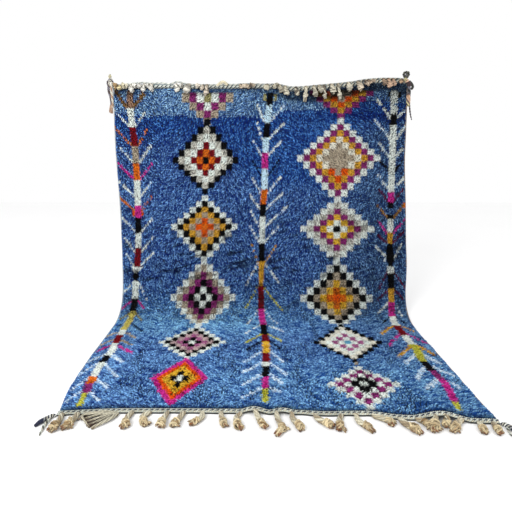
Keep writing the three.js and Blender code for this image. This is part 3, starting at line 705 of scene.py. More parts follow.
def make_foundation():
    columns = np.linspace(0, 1, FOUNDATION_COLUMNS + 1)
    rows = np.linspace(0, 1, FOUNDATION_ROWS + 1)
    share, run = np.meshgrid(columns, rows)
    across, down = weave_place(share, run)
    height = FOUNDATION_THICKNESS - (FOUNDATION_THICKNESS - FOUNDATION_EDGE) * edge_share(share, down)
    back = on_cloth(across, down, 0 * height).reshape(-1, 3)
    face = on_cloth(across, down, height).reshape(-1, 3)
    number = np.arange(len(back)).reshape(share.shape)
    cells = np.stack([number[:-1, :-1], number[:-1, 1:], number[1:, 1:], number[1:, :-1]], -1).reshape(-1, 4)
    rim = np.concatenate([number[0, :-1], number[:-1, -1], number[-1, :0:-1], number[:0:-1, 0]])
    beyond = np.roll(rim, -1)
    offset = len(back)
    rims = np.stack([beyond, rim, rim + offset, beyond + offset], -1)
    faces = np.concatenate([cells, cells[:, ::-1] + offset, rims])
    piece = mesh_object("rug_foundation", np.concatenate([back, face]), [faces])
    cell_share, cell_run = [grid.ravel()[cells].mean(1) for grid in (share, run)]
    mottle = np.random.default_rng(9).normal(0, BACK_SPREAD, len(cells))
    cell_light = charted(*weave_place(cell_share, cell_run), mottle)
    rim_light = np.tile(linear(RIM_WOOL), (len(rims), 1))
    # The face under the pile gets a painted shade.
    light = np.concatenate([cell_light * BACK_LIGHT, cell_light * SHADED_FACE_LIGHT, rim_light])
    dye_mesh(piece, np.repeat(light, 4, axis=0), "CORNER")
    map_mesh(piece, "OFBake", foundation_sheet(share, run, faces, offset, len(rims)))
    flat = np.stack([across, down], -1).reshape(-1, 2)
    map_mesh(piece, "Weave", flat[faces.ravel() % offset])
    return piece


foundation = make_foundation()

back_looks = Looks("knotted_back")
warp_way, weft_way = back_looks.mapped("Weave")
warp_ridge = (warp_way * (np.pi / WARP_PITCH)).wave() ** 2
knot_ridge = (weft_way * (np.pi / KNOT_PITCH)).wave() ** 2
knots = (warp_ridge * knot_ridge) ** 0.5
fibre = back_looks.grain(0.0012, 4)
back_looks.shade(
    Base_Color=back_looks.brighten(back_looks.dyed(), 0.45 + 0.45 * knots + 0.2 * fibre),
    Roughness=0.82 + 0.1 * fibre,
    Normal=back_looks.relief(knots + 0.35 * fibre, 0.0012),
)
put_on(foundation, back_looks, "wool_pile", "pile_cloth")


# The pile: some seventy thousand tufts of loosely spun wool, one for each knot. On the hanging part they
# lean down and to either side in small swirls. On the lying part they lie sideways in wavy rows.

TUFT_COLUMNS = 248
TUFT_ROWS = 280
PILE_BANDS = 5
ROOT_STRAY = (0.25, 0.22)  # how far a root may stand off its place across and down, in tufts
ROOT_SHARES = (0.004, 0.996)  # the roots keep within these shares of the width and of the length
ROOT_RUNS = (0.001, 0.9985)
TUFT_ROOT = 0.0050  # height of the roots above the back
TUFT_LENGTH = 0.0205
EDGE_CUT = 0.42  # share of its length that a tuft loses at the side edges
EDGE_ROOT = 0.3  # share of its height that a root loses there
TUFT_LEAN = 0.80  # from upright, in radians
TUFT_RADII = (0.0022, 0.0042)  # at the root and at the belly, where a tuft is thickest
RADIUS_SPREAD = (0.85, 1.15)
BELLY_REACH = 0.60  # where the belly is, as a share of the way out and up: a tuft curls over to its tip
BELLY_RISE = 0.70
PILE_HEIGHT = 0.0185
PILE_WAVE = 0.001  # by which the pile is higher or lower in places
LOWEST_WOOL = 0.003
END_REACH = 0.004  # how far the last tufts may lean over a heading
TOP_REACH = (0.004, 2.2)  # what the first tufts may, and how fast that grows with the distance down
LEAST_REACH = 0.003
LEAST_AHEAD = 0.35
PILE_WIDTH = 1.62
SIDE_ROOM = 0.006  # kept free for the side cords
TURNED_BACK = -0.5  # a tuft too near a side may turn back by this share of its reach
# The tufts turn to either side in swirls: strength, size and seed of the larger and the smaller ones.
SWIRLS = ((3, (0.17, 0.21), 23), (1.5, (0.045, 0.06), 25))
SWIRL_TURN = 0.85  # how far the hanging tufts turn, in radians
ROW_TURN = 1.35  # the same for the lying tufts
# How far a tuft's turn, lean, length and tone go off the usual, in waves and from tuft to tuft.
TURN_WAVES = ((0.014, 0.018), 22)
DEPTH_WAVES = ((0.019, 0.024), 24)
TURN_STRAY = (0.35, 0.32)
LEAN_STRAY = (0.06, 0.12)
LENGTH_STRAY = (0.08, 0.06)
TONE_STRAY = (0.08, 0.09)
TUFT_QUADS = np.array([[0, 1, 4, 3], [1, 2, 5, 4], [2, 0, 3, 5]])
TUFT_TRIANGLES = np.array([[3, 4, 6], [4, 5, 6], [5, 3, 6]])


def stray(rng, waves, amounts):
    """How far each tuft goes off the usual, in waves and at random."""
    return amounts[0] * waves + rng.normal(0, amounts[1], len(waves))


def plant_tufts(rng):
    """The share of the width at which each tuft is rooted, and its distances across and down."""
    column, row = np.meshgrid(np.arange(TUFT_COLUMNS), np.arange(TUFT_ROWS))
    share = column + 0.25 + 0.5 * (row % 2) + rng.uniform(-ROOT_STRAY[0], ROOT_STRAY[0], column.shape)
    run = row + 0.5 + rng.uniform(-ROOT_STRAY[1], ROOT_STRAY[1], row.shape)
    share = np.clip(share.ravel() / TUFT_COLUMNS, *ROOT_SHARES)
    across, down = weave_place(share, np.clip(run.ravel() / TUFT_ROWS, *ROOT_RUNS))
    return share, across, down


def tuft_points(rng, share, across, down, lying, way, depth):
    """Three corners at each tuft's root, three at its belly, and its tip. Each is given as distances
    across and down the cloth, and a height above its back."""
    edge = edge_share(share, down)
    turn = way * (SWIRL_TURN + lying * (ROW_TURN - SWIRL_TURN))
    turn = turn + stray(rng, drift(across, down, *TURN_WAVES), TURN_STRAY)
    lean = TUFT_LEAN + stray(rng, depth, LEAN_STRAY)
    length = TUFT_LENGTH * (1 + stray(rng, depth, LENGTH_STRAY)) * (1 - EDGE_CUT * edge)
    ahead = np.cos(turn)
    top_room = TOP_REACH[0] + TOP_REACH[1] * (down - pile_start(across))
    room = np.maximum(np.minimum(pile_end(across) - down + END_REACH, top_room), LEAST_REACH)
    reach = np.minimum(length * np.sin(lean), room / np.maximum(ahead, LEAST_AHEAD))
    rise = np.sqrt(np.maximum(length**2 - reach**2, 0))
    rise = np.minimum(rise, PILE_HEIGHT - TUFT_ROOT + PILE_WAVE * depth)
    to_side = np.where(np.sin(turn) > 0, 1 - share, share) * PILE_WIDTH - SIDE_ROOM
    squeeze = np.clip(to_side / np.maximum(np.abs(np.sin(turn)) * reach, 1e-6), TURNED_BACK, 1)
    sway = np.sin(turn) * reach * squeeze
    root = np.stack([across, down, TUFT_ROOT * (1 - EDGE_ROOT * edge)], -1)
    tip = root + np.stack([sway, ahead * reach, rise], -1)
    belly = root + np.stack([sway * BELLY_REACH, ahead * reach * BELLY_REACH, rise * BELLY_RISE], -1)
    axis = tip - root
    axis /= np.linalg.norm(axis, axis=1)[:, None]
    beside = np.stack([axis[:, 1], -axis[:, 0], 0 * reach], -1)
    beside /= np.maximum(np.linalg.norm(beside, axis=1), 1e-6)[:, None]
    over = np.cross(axis, beside)
    spin = rng.uniform(0, 2 * np.pi, len(share))
    rings = []
    for centre, radius in zip((root, belly), TUFT_RADII):
        for corner in range(3):
            angle = (spin + corner * 2 * np.pi / 3)[:, None]
            size = radius * rng.uniform(*RADIUS_SPREAD, (len(share), 1))
            rings.append(centre + size * (np.cos(angle) * beside + np.sin(angle) * over))
    points = np.stack(rings + [tip], 1)
    points[..., 2] = np.clip(points[..., 2], LOWEST_WOOL, PILE_HEIGHT + PILE_WAVE)
    return points


# Strokes that the tufts part into: slant in radians, length and width, and seed. The hanging ones follow
# the swirls. The lying ones fall to the right as far as a wavy line across, and rise beyond it.
DOWN_RIGHT = (0.85, (0.012, 0.0038), 26)
DOWN_LEFT = (-0.85, (0.012, 0.0038), 27)
HANGING_STROKE = 1.1  # how much they tell in the mottle
FALLING = (0.45, (0.027, 0.0078), 28)
RISING = (-0.25, (0.027, 0.0078), 30)
RISING_FROM = 0.15
RISING_WAVE = 0.3
RISING_WAVES = ((0.2, 0.2), 32)
LYING_STROKE = (0.35, 4.6)  # their light, and how much of it the gaps between them lose as painted shade
LYING_GAP = 0.10
FLECKS = (1.5, 1.0)  # how far the ends of one tuft differ, where the cloth hangs and where it lies
TUFT_SPREAD = 0.85  # how far the tufts differ
LYING_STRAY = 0.0025  # how far a lying tuft's dye may stray from its place in the chart
LOOK_BACK = 0.001  # how far a tuft's dye shows below the row it is charted in
# Shallow wavy furrows where rows of the hanging pile part: their strokes, and the light that they lose as
# painted shade.
FURROWS = (-0.25, (0.055, 0.0085), 33)
FURROW_LEAST = 0.12
FURROW_SHADE = 1.15
FURROWS_DOWN = (1.05, 0.55)  # their middle and half size
# Painted shadow of the top fringe on the wool under it: distance across, how far down that reaches, and by
# what share.
FRINGE_SHADE = (
    (-810, 45, 0.60), (-700, 34, 0.40), (-600, 24, 0.20), (-560, 15, 0.0), (-450, 24, 0.1), (-400, 40, 0.45),
    (-240, 40, 0.50), (-150, 26, 0.45), (-60, 22, 0.35), (60, 44, 0.60), (180, 66, 0.80), (300, 76, 0.92),
    (400, 66, 0.95), (480, 60, 0.95), (560, 52, 0.84), (700, 50, 0.75), (800, 95, 0.80),
)
FRINGE_FULL = 2.2  # how soon that shade is full below the heading
FRINGE_SPREAD = (0.8, 1.1)
FRINGE_LEAST = 0.03
# Painted shade: the top right and the right side are darker: by what share, and where that grows across.
TOP_RIGHT_SHADE = 0.42
TOP_RIGHT_ACROSS = (0.05, 0.60)
TOP_RIGHT_DOWN = 0.26
RIGHT_SHADE = (0.16, 0.128)  # where the cloth hangs and where it lies
RIGHT_ACROSS = (0.30, 0.72)
END_SHADE = 0.65  # share of light lost in the last rows, and how far from the end it is lost
END_SHADE_REACH = 0.022
PAINTED_TIP_HIGHLIGHT = np.array((0.90, 0.90, 0.90, 1.16))[:, None]  # painted highlight: the light kept at the belly's corners, and more at the tip, which catches the light
PAINTED_ROOT_SHADE = (0.05, 0.60)  # painted shade deep among the tufts: the share left at the roots of black wool, and what it gains in full light
BRIGHTNESS = np.array((0.2126, 0.7152, 0.0722))  # how bright red, green and blue light look


def strokes(across, down, slant, size, seed):
    """Smooth waves like those of drift, drawn out along one direction."""
    ahead = across * np.cos(slant) + down * np.sin(slant)
    aside = down * np.cos(slant) - across * np.sin(slant)
    return drift(ahead, aside, size, seed)


def tuft_mottle(rng, across, down, lying, way):
    """How light or dark each tuft is spun, at the corners of its belly and at its tip, with a painted shade
    in the gaps between the lying strokes.
    """
    hanging = np.where(way > 0, strokes(across, down, *DOWN_RIGHT), strokes(across, down, *DOWN_LEFT))
    falls = across + RISING_WAVE * drift(across, down, *RISING_WAVES) < RISING_FROM
    laid = np.where(falls, strokes(across, down, *FALLING), strokes(across, down, *RISING))
    laid = LYING_STROKE[0] - LYING_STROKE[1] * np.maximum(-laid - LYING_GAP, 0)
    stroke = HANGING_STROKE * hanging * (1 - lying) + laid * lying
    fleck = rng.normal(0, 1, (len(across), 4)) * np.interp(lying, (0, 1), FLECKS)[:, None]
    return (stroke + rng.normal(0, TUFT_SPREAD, len(across)))[:, None] + fleck


def tuft_tone_and_shade(rng, across, down, lying, depth):
    """The share of its light that each tuft keeps, by random tone and by painted shade: in furrows, in the
    shadow of the top fringe, at the top right and the right side, and in the last rows by the front heading.
    """
    furrow = np.maximum(strokes(across, down, *FURROWS) - FURROW_LEAST, 0)
    furrow = FURROW_SHADE * furrow * bump(down - FURROWS_DOWN[0], FURROWS_DOWN[1])
    tone = (1 - furrow) * (1 + stray(rng, depth, TONE_STRAY))
    shaded = bump(down - pile_start(across), metres(FRINGE_SHADE, across))
    covered = np.minimum(FRINGE_FULL * shaded, 1) * rng.uniform(*FRINGE_SPREAD, len(across))
    tone = tone * np.maximum(1 - along(FRINGE_SHADE, across / MM, 2) * covered, FRINGE_LEAST)
    top_right = np.interp(across, TOP_RIGHT_ACROSS, (0, 1)) * bump(down, TOP_RIGHT_DOWN)
    right = np.interp(across, RIGHT_ACROSS, (0, 1)) * np.interp(lying, (0, 1), RIGHT_SHADE)
    tone = tone * (1 - TOP_RIGHT_SHADE * top_right) * (1 - right)
    return tone * (1 - END_SHADE * bump(pile_end(across) - down, END_SHADE_REACH))


def make_pile():
    """The points of all the tufts, and the light at each point."""
    rng = np.random.default_rng(11)
    share, across, down = plant_tufts(rng)
    lying = np.clip((down - HANGING_LENGTH) / SWEEP_LENGTH, 0, 1)
    way = np.tanh(sum(strength * drift(across, down, size, seed) for strength, size, seed in SWIRLS))
    depth = drift(across, down, *DEPTH_WAVES)
    points = tuft_points(rng, share, across, down, lying, way, depth)
    mottle = tuft_mottle(rng, across, down, lying, way)
    off_across, off_down = (rng.normal(0, LYING_STRAY, (2, len(share))) * lying)[..., None]
    light = charted(points[:, 3:, 0] + off_across, points[:, 3:, 1] - LOOK_BACK + off_down, mottle)
    # Painted shade and highlight: each tuft's tone and shade, a lighter tip and darker roots.
    light = light * tuft_tone_and_shade(rng, across, down, lying, depth)[:, None, None] * PAINTED_TIP_HIGHLIGHT
    fullness = np.sqrt(light[:, :3] @ BRIGHTNESS)[..., None]
    shaded_root_light = light[:, :3] * (PAINTED_ROOT_SHADE[0] + PAINTED_ROOT_SHADE[1] * fullness)
    return on_cloth(*np.moveaxis(points, -1, 0)), np.concatenate([shaded_root_light, light], 1)


def tuft_map(count):
    """A small cell of the sheet for each tuft, as a strip from its root to its tip."""
    side = int(np.ceil(np.sqrt(count)))
    cell = np.arange(count)
    corner = np.stack([cell % side, cell // side], -1)[:, None, :]
    quads = np.concatenate([[[e, 0], [e + 1, 0], [e + 1, 0.55], [e, 0.55]] for e in range(3)])
    tips = np.concatenate([[[e, 0.55], [e + 1, 0.55], [e + 0.5, 1]] for e in range(3)])
    places = [(corner + 0.06 + 0.88 * shape / (3, 1)) / side for shape in (quads, tips)]
    return np.concatenate([place.reshape(-1, 2) for place in places])


def make_pile_bands():
    points, light = make_pile()
    pieces = []
    for number, rows in enumerate(np.array_split(np.arange(TUFT_ROWS), PILE_BANDS)):
        chosen = slice(rows[0] * TUFT_COLUMNS, (rows[-1] + 1) * TUFT_COLUMNS)
        band = points[chosen]
        first = np.arange(len(band))[:, None, None] * band.shape[1]
        quads = (first + TUFT_QUADS[None]).reshape(-1, 4)
        tips = (first + TUFT_TRIANGLES[None]).reshape(-1, 3)
        piece = mesh_object(f"pile_band_{number + 1}", band.reshape(-1, 3), [quads, tips])
        dye_mesh(piece, light[chosen].reshape(-1, 3))
        map_mesh(piece, "OFBake", tuft_map(len(band)))
        pieces.append(piece)
    return pieces


pile_bands = make_pile_bands()

pile_looks = Looks("wool_pile")
fibre = pile_looks.grain(0.0016, 4)
pile_looks.shade(
    Base_Color=pile_looks.brighten(pile_looks.dyed(), 0.7 + 0.6 * fibre),
    Roughness=0.75 + 0.2 * fibre,
    Normal=pile_looks.relief(fibre, 0.0008),
    Specular_IOR_Level=0.08,
)
for band in pile_bands:
    put_on(band, pile_looks, "wool_pile", "pile_cloth")


# Side cords: the outermost warps of each side, wrapped over and over with grey wool as the rug is woven.
# They close the sides of the cloth, and run its whole length between the two headings.

SIDE_CORD_RADIUS = 0.0046
SIDE_CORD_WAIST = 0.86  # share of it left between two turns of the wrapping
SIDE_CORD_WRAP = 0.0065
SIDE_CORD_STEP = 0.0030
SIDE_CORD_HEIGHT = 0.0052  # of its middle above the back
SIDE_CORD_INSET = 0.005  # of its middle from the edge
PAINTED_CREASE_SHADE = (0.38, 1.0)  # painted shade: the light left between the yarns of a rope or a knot, and on its outside
CREASE_REACH = (0.55, 0.95)  # how far out from its core, as shares of its radius
STRAND_FILL = 1.08  # how much wider the strands of a rope are than round ones that just touch
KNOT_TAPER = 0.9  # how much a winding draws in towards its ends
TWIST_SCALE = 10  # how many times the lengths in a yarn's map are enlarged


def frames(path, up):
    """Directions beside and over a path, square to it."""
    ahead = np.gradient(path, axis=0)
    beside = np.cross(ahead, up)
    beside /= np.maximum(np.linalg.norm(beside, axis=1), 1e-9)[:, None]
    over = np.cross(beside, ahead)
    over /= np.maximum(np.linalg.norm(over, axis=1), 1e-9)[:, None]
    return beside, over


def length_along(path):
    """How far along a path each of its points is."""
    return np.append(0, np.cumsum(np.linalg.norm(np.diff(path, axis=0), axis=1)))


def route(stops, step):
    """A smooth line through rows of numbers whose first three are a place, at even steps along it."""
    stops = np.asarray(stops, float)
    far = length_along(stops[:, :3])
    count = max(int(np.ceil(far[-1] / step)), 2) + 1
    at = np.linspace(0, far[-1], count)
    return np.stack([along(np.stack([far, column], -1), at) for column in stops.T], -1)


def circle(sides):
    """Even places round a circle of radius 1."""
    turn = 2 * np.pi * np.arange(sides) / sides
    return np.stack([np.cos(turn), np.sin(turn)], -1)


class Skein:
    """Lengths of yarn, gathered and made into one mesh."""

    def __init__(self):
        self.yarns = []

    def lay(self, path, radius, light, up=UP, sides=6, core=None, outer=1.0):
        """Adds a round yarn along a path. Its radius and light may change along it. It gets a painted shade
        where it goes into a rope or knot, whose core and outer radius may be given."""
        beside, over = frames(path, up)
        radius = np.broadcast_to(np.asarray(radius, float), len(path))
        light = np.broadcast_to(np.asarray(light, float), (len(path), 3))
        wide, tall = circle(sides).T[..., None]
        points = path[:, None] + radius[:, None, None] * (wide * beside[:, None] + tall * over[:, None])
        shade = np.ones(points.shape[:2])
        # Painted shade in the creases.
        if core is not None:
            far = np.linalg.norm(points - core[:, None], axis=2) / outer[:, None]
            shade = np.interp(far, CREASE_REACH, PAINTED_CREASE_SHADE)
        self.yarns.append((points, light[:, None] * shade[..., None]))

    def ply(self, path, radius, lights, up, pitch, phase=0.0, sides=6):
        """Adds one strand for each light. They twist round one another along a path, within a radius."""
        beside, over = frames(path, up)
        radius = np.broadcast_to(np.asarray(radius, float), len(path))
        far = length_along(path)
        strands = len(lights)
        inner = np.sin(np.pi / strands)
        strand_radius = radius * inner / (1 + inner) * STRAND_FILL
        for strand, light in enumerate(lights):
            turn = (2 * np.pi * (strand / strands + far / pitch) + phase)[:, None]
            offset = (radius - strand_radius)[:, None] * (np.cos(turn) * beside + np.sin(turn) * over)
            self.lay(path + offset, strand_radius, light, up, sides, path, radius)

    def twine(self, stops, step, lights, up, pitch, phase=0.0):
        """Plies strands along a smooth line through stops, each a place and a radius."""
        path = route(stops, step)
        self.ply(path[:, :3], path[:, 3], lights, up, pitch, phase)

    def wind(self, centre, axis, radii, yarn_radius, turns, lead, light, sides=6, steps=14, start=0.0):
        """Adds a yarn wound round an axis, as a knot or a wrapping. The radii are across and upwards."""
        axis = np.asarray(axis, float) / np.linalg.norm(axis)
        ref = UP if abs(axis[2]) < 0.8 else OUT
        beside = np.cross(axis, ref)
        beside /= np.linalg.norm(beside)
        over = np.cross(beside, axis)
        turn = np.linspace(0, 2 * np.pi * turns, int(turns * steps) + 1)
        share = turn / turn[-1] - 0.5
        belly = 1 - KNOT_TAPER * share**2
        core = np.asarray(centre) + share[:, None] * lead * axis
        offset = (radii[0] * belly * np.cos(turn + start))[:, None] * beside
        offset = offset + (radii[1] * belly * np.sin(turn + start))[:, None] * over
        outer = np.linalg.norm(offset, axis=1) + yarn_radius
        self.lay(core + offset, yarn_radius, light, axis, sides, core, outer)

    def make(self, name):
        """One mesh of all the yarns, with their dyes, their twist and a map of the sheet."""
        points = []
        faces = {}
        lights = []
        start = 0
        grid = int(np.ceil(np.sqrt(len(self.yarns))))
        for number, (rings, light) in enumerate(self.yarns):
            length, sides = rings.shape[:2]
            corner = np.array([number % grid, number // grid]) / grid
            k, n = np.meshgrid(np.arange(sides), np.arange(length - 1))
            here = start + n * sides + k
            there = start + n * sides + (k + 1) % sides
            quads = np.stack([here, there, there + sides, here + sides], -1).reshape(-1, 4)
            u = np.stack([k, k + 1, k + 1, k], -1).reshape(-1, 4) / sides
            v = np.stack([n, n, n + 1, n + 1], -1).reshape(-1, 4) / (length - 1)
            step = np.linalg.norm(rings[1:].mean(1) - rings[:-1].mean(1), axis=1).mean()
            sheet = corner + np.stack([0.05 + 0.9 * u, 0.16 + 0.8 * v], -1) / grid
            twist = np.stack([u, v * (length - 1) * step * TWIST_SCALE], -1)
            faces.setdefault(4, []).append((quads, sheet, twist))
            first = start + np.arange(sides)
            for cap, middle in ((first[::-1], 0.25), (first + (length - 1) * sides, 0.75)):
                cap_sheet = corner + (np.array([middle, 0.07]) + 0.05 * circle(sides)) / grid
                faces.setdefault(sides, []).append((cap[None], cap_sheet[None], 0 * cap_sheet[None]))
            points.append(rings.reshape(-1, 3))
            lights.append(light.reshape(-1, 3))
            start += length * sides
        groups = [[np.concatenate(column) for column in zip(*group)] for group in faces.values()]
        piece = mesh_object(name, np.concatenate(points), [group[0] for group in groups])
        dye_mesh(piece, np.concatenate(lights))
        map_mesh(piece, "OFBake", np.concatenate([group[1].reshape(-1, 2) for group in groups]))
        map_mesh(piece, "Twist", np.concatenate([group[2].reshape(-1, 2) for group in groups]))
        return piece


def make_side_cord(name, share, inset, wool_light):
    run = np.arange(0.0, 1.0, SIDE_CORD_STEP / CLOTH_END)
    across, down = weave_place(np.full(len(run), share), run)
    path = on_cloth(across + inset, down, np.full(len(run), SIDE_CORD_HEIGHT))
    wrap = np.abs(np.sin(np.pi * run * CLOTH_END / SIDE_CORD_WRAP))
    radius = SIDE_CORD_RADIUS * np.interp(wrap, (0, 1), (SIDE_CORD_WAIST, 1))
    tone = 1 + 0.12 * drift(across, down, (0.5, 0.03), 31)
    skein = Skein()
    skein.lay(path, radius, wool_light * tone[:, None], up=(1.0, 0.0, 0.0))
    return skein.make(name)


def yarn_looks(name, pitch, depth):
    """Spun yarn: fine slanting fibres that follow its twist, with a painted shade in the grooves between its
    plies, a little fuzz and wear.
    """
    looks = Looks(name)
    around, far = looks.mapped("Twist")
    # Painted shade in the grooves between the plies.
    plies = ((around * 3 + far / (TWIST_SCALE * pitch)) * (2 * np.pi)).wave() * 0.5 + 0.5
    fibre = looks.grain(0.0011, 4)
    soil = looks.grain(0.02, 2)
    looks.shade(
        Base_Color=looks.brighten(looks.dyed(), 0.52 + 0.22 * plies + 0.22 * fibre + 0.22 * soil),
        Roughness=0.85 + 0.1 * fibre,
        Normal=looks.relief(plies + 0.5 * fibre, depth),
        Sheen_Weight=0.15,
    )
    return looks


side_cords = [
    make_side_cord("side_cord_left", 0.0, SIDE_CORD_INSET, linear("#8f9aa2")),
    make_side_cord("side_cord_right", 1.0, -SIDE_CORD_INSET, linear("#7f7268")),
]
cord_looks = yarn_looks("wrapped_side_wool", 0.006, 0.0006)
for cord in side_cords:
    put_on(cord, cord_looks, "wool_pile", "pile_cloth")


# Headings: the flat-woven bands that close each end of the pile. A cream weft packed over the warps makes
# them, and a twined cord with one navy strand locks the pile beside them.

# The band's section: how far from the pile, and how far out of the back.
HEADING_SECTION = (
    (0, 0.3), (0, 5.0), (2.5, 6.2), (6, 5.6), (9, 6.6), (12.5, 5.6), (15.5, 6.4), (20, 6.2), (21, 5.6),
    (22, 5.0), (22, 0.3),
)
HEADING_LENGTH = 1.6
HEADING_STEP = 0.0026
RIB_PITCH = 0.0074
RIB_DEPTH = 0.0005
FRAY_FROM = 18  # the rows of the section beyond this are worn back
FRAY_DEPTH = 0.0010
SHADE_FROM = 20  # and those beyond this, the band's outer edge, get a painted shade
CORD_STRAY = 0.0008
CORD_GROWTH = (0.88, 1.22)  # the cords are thinner at the left end and thicker at the right
CREAM = linear("#d9d2b8")
NAVY = linear("#1b2440")


def top_edge_place(share, away, out):
    """A place on the top heading, by its distance away from the pile and out from the back."""
    across, down = weave_place(share, 0 * share)
    places = on_cloth(across, down, out)
    places[..., 2] += GAP + away
    return places


def front_edge_place(share, away, out):
    """A place on the front heading, by its distance away from the pile and up from the ground."""
    across, down = weave_place(share, 0 * share + 1)
    places = on_cloth(across, down, out)
    places[..., 1] -= GAP + away
    return places


def mixed(first, second, share):
    share = np.asarray(share)[..., None]
    return first * (1 - share) + second * share


def make_heading(name, place, up, left, right, shaded_edge, cords, seed):
    """The band and the cords twined along it. Its colour changes from its left to its right end."""
    share = np.arange(0.0, 1.0 + 1e-9, HEADING_STEP / HEADING_LENGTH)
    far = share * HEADING_LENGTH

    def waves(size, offset=0):
        return drift(far, 0 * far, (size, 1.0), seed + offset)

    rib = np.sin(2 * np.pi * far / RIB_PITCH)
    wear = waves(0.03)
    tone = (1 + 0.16 * waves(0.012, 1) + 0.10 * waves(0.09))[:, None]
    rings = []
    lights = []
    for n, (away, out) in enumerate(HEADING_SECTION):
        row = rib * (1 if n % 2 else -1)
        bulge = RIB_DEPTH * row if out > 1 else 0 * row
        fray = FRAY_DEPTH * wear - FRAY_DEPTH if away > FRAY_FROM else 0 * wear
        rings.append(place(share, away * MM + fray, out * MM + bulge))
        lights.append(mixed(left, right, share) * tone * (shaded_edge if away > SHADE_FROM else 1.0))
    skein = Skein()
    skein.yarns.append((np.stack(rings, 1), np.stack(lights, 1)))
    for number, (away, out, radius, pitch, strands) in enumerate(cords):
        off = metres(away, far - HEADING_LENGTH / 2) + CORD_STRAY * waves(0.05, 10 + number)
        dyes = [mixed(*pair, share) * tone for pair in strands]
        growth = np.interp(share, (0, 1), CORD_GROWTH)
        skein.ply(place(share, off, out * MM + 0 * share), radius * growth, dyes, up, pitch, seed, 5)
    return skein.make(name)


WHITE_WOOL = linear("#eef0e6")
GREY_WOOL = linear("#78898c")
BAND_GREY = linear("#6f7068")
PALE_GREY = linear("#b9c2c2")
TEAL_WHITE = linear("#d4dacf")
DARK_WOOL = linear("#28303c")
DARK_BROWN = linear("#2c2019")
# Cords of a heading: how far it stands from the pile at distances across, its height, radius and pitch,
# and the dyes of its strands at the left and right end.
LOOSE_CORD = (
    (-810, 20), (-720, 25), (-640, 30), (-590, 25), (-532, 28), (-490, 23), (-447, 34), (-400, 24),
    (-300, 20), (-140, 21), (-50, 23), (30, 20), (105, 23), (207, 20), (371, 21), (545, 22), (738, 22),
    (810, 20),
)
TOP_CORDS = (
    (((-810, 2), (810, 2)), 7.0, 0.0032, 0.019, ((TEAL_WHITE, GREY_WOOL), (DARK_WOOL, DARK_WOOL))),
    (
        ((-810, 10), (810, 10)), 8.6, 0.0060, 0.022,
        ((WHITE_WOOL, CREAM * 0.9), (TEAL_WHITE, GREY_WOOL), (DARK_WOOL * 1.6, DARK_BROWN)),
    ),
    (
        LOOSE_CORD, 6.4, 0.0052, 0.026,
        ((WHITE_WOOL, CREAM * 0.8), (WHITE_WOOL, GREY_WOOL), (PALE_GREY, DARK_BROWN)),
    ),
)
FRONT_CORDS = (
    (((-810, 3), (810, 3)), 7.4, 0.0034, 0.016, ((TEAL_WHITE, TEAL_WHITE), (TEAL_WHITE, TEAL_WHITE))),
    (((-810, 8.6), (810, 9.4)), 8.2, 0.0038, 0.0205, ((TEAL_WHITE, TEAL_WHITE), (NAVY, NAVY))),
    (((-810, 14.5), (810, 15.5)), 7.0, 0.0036, 0.017, ((TEAL_WHITE, TEAL_WHITE), (CREAM, CREAM))),
)
# The band's outer edge gets a painted shade: nearly black on the front heading, a little darker on the top
# one.
top_heading = make_heading("top_heading", top_edge_place, OUT, GREY_WOOL, BAND_GREY, 0.9, TOP_CORDS, 41)
front_heading = make_heading(
    "front_heading", front_edge_place, UP, TEAL_WHITE, TEAL_WHITE, 0.03, FRONT_CORDS, 43
)
heading_looks = yarn_looks("heading_weave", 0.006, 0.0007)
for heading, node in ((top_heading, "top_fringe"), (front_heading, "front_fringe")):
    put_on(heading, heading_looks, "warp", node)


# The front fringe: the warp ends, gathered in fat rope-like bundles. Each is wound once or twice into a
# knot, and its cut ends splay out beyond it, browned at the tips. One knot has come undone.

# Each bundle: its size, across where it leaves the heading, then its bend, knot and tip and its short
# ends, as [across, forward] on the ground.
FRONT_BUNDLES = (
    (1.15, -746, (-741, 1012), (-742, 1050), (-748, 1078), ((-762, 1068), (-728, 1074))),
    (1.15, -690, (-692, 1003), (-697, 1034), (-716, 1064), ((-677, 1052), (-698, 1062))),
    (1.05, -493, (-502, 999), (-497, 1034), (-508, 1058), ((-476, 1040),)),
    (1.05, -429, (-448, 996), (-434, 1028), (-422, 1044), ((-404, 1030),)),
    (1.10, -362, (-367, 1000), (-371, 1034), (-380, 1052), ((-356, 1054),)),
    (1.10, -302, (-311, 999), (-322, 1034), (-332, 1050), ((-300, 1044),)),
    (0.95, -234, (-229, 992), (-250, 1020), (-276, 1035), ((-260, 1040),)),
    (1.00, -164, (-158, 999), (-150, 1030), (-150, 1048), ((-130, 1046),)),
    (1.10, -92, (-106, 1003), (-99, 1042), (-84, 1064), ((-76, 1056),)),
    (1.05, -36, (-24, 1005), (-12, 1037), (5, 1062), ((-17, 1052),)),
    (1.00, 41, (44, 1003), (58, 1058), (34, 1100), ((88, 1058),)),
    (1.10, 97, (99, 1005), (118, 1048), (128, 1070), ((128, 1024), (108, 1062))),
    (1.10, 182, (192, 1010), (220, 1036), (244, 1050), ((232, 1058),)),
    (1.05, 279, (266, 1011), (262, 1044), (254, 1070), ((282, 1076),)),
    (1.05, 332, (334, 1020), (356, 1050), (376, 1082), ()),
    (0.95, 397, (424, 1005), (447, 1022), (444, 1046), ((470, 1026),)),
    (1.20, 486, (492, 1030), (518, 1064), (534, 1092), ((540, 1058), (504, 1078))),
    (1.00, 549, (560, 1016), (572, 1036), (584, 1052), ()),
    (1.30, 612, (604, 1018), (594, 1050), (584, 1080), ((562, 1066), (612, 1074))),
    (1.15, 650, (656, 1012), (642, 1034), (626, 1046), ((660, 1046),)),
    (1.20, 703, (694, 1020), (664, 1058), (640, 1076), ((668, 1080),)),
    (1.00, 762, (760, 1034), (756, 1064), (762, 1086), ((744, 1084),)),
    (1.00, 812, (808, 1038), (806, 1068), (799, 1092), ((816, 1090),)),
)
LOOSE_ROOT = (-553, 966)
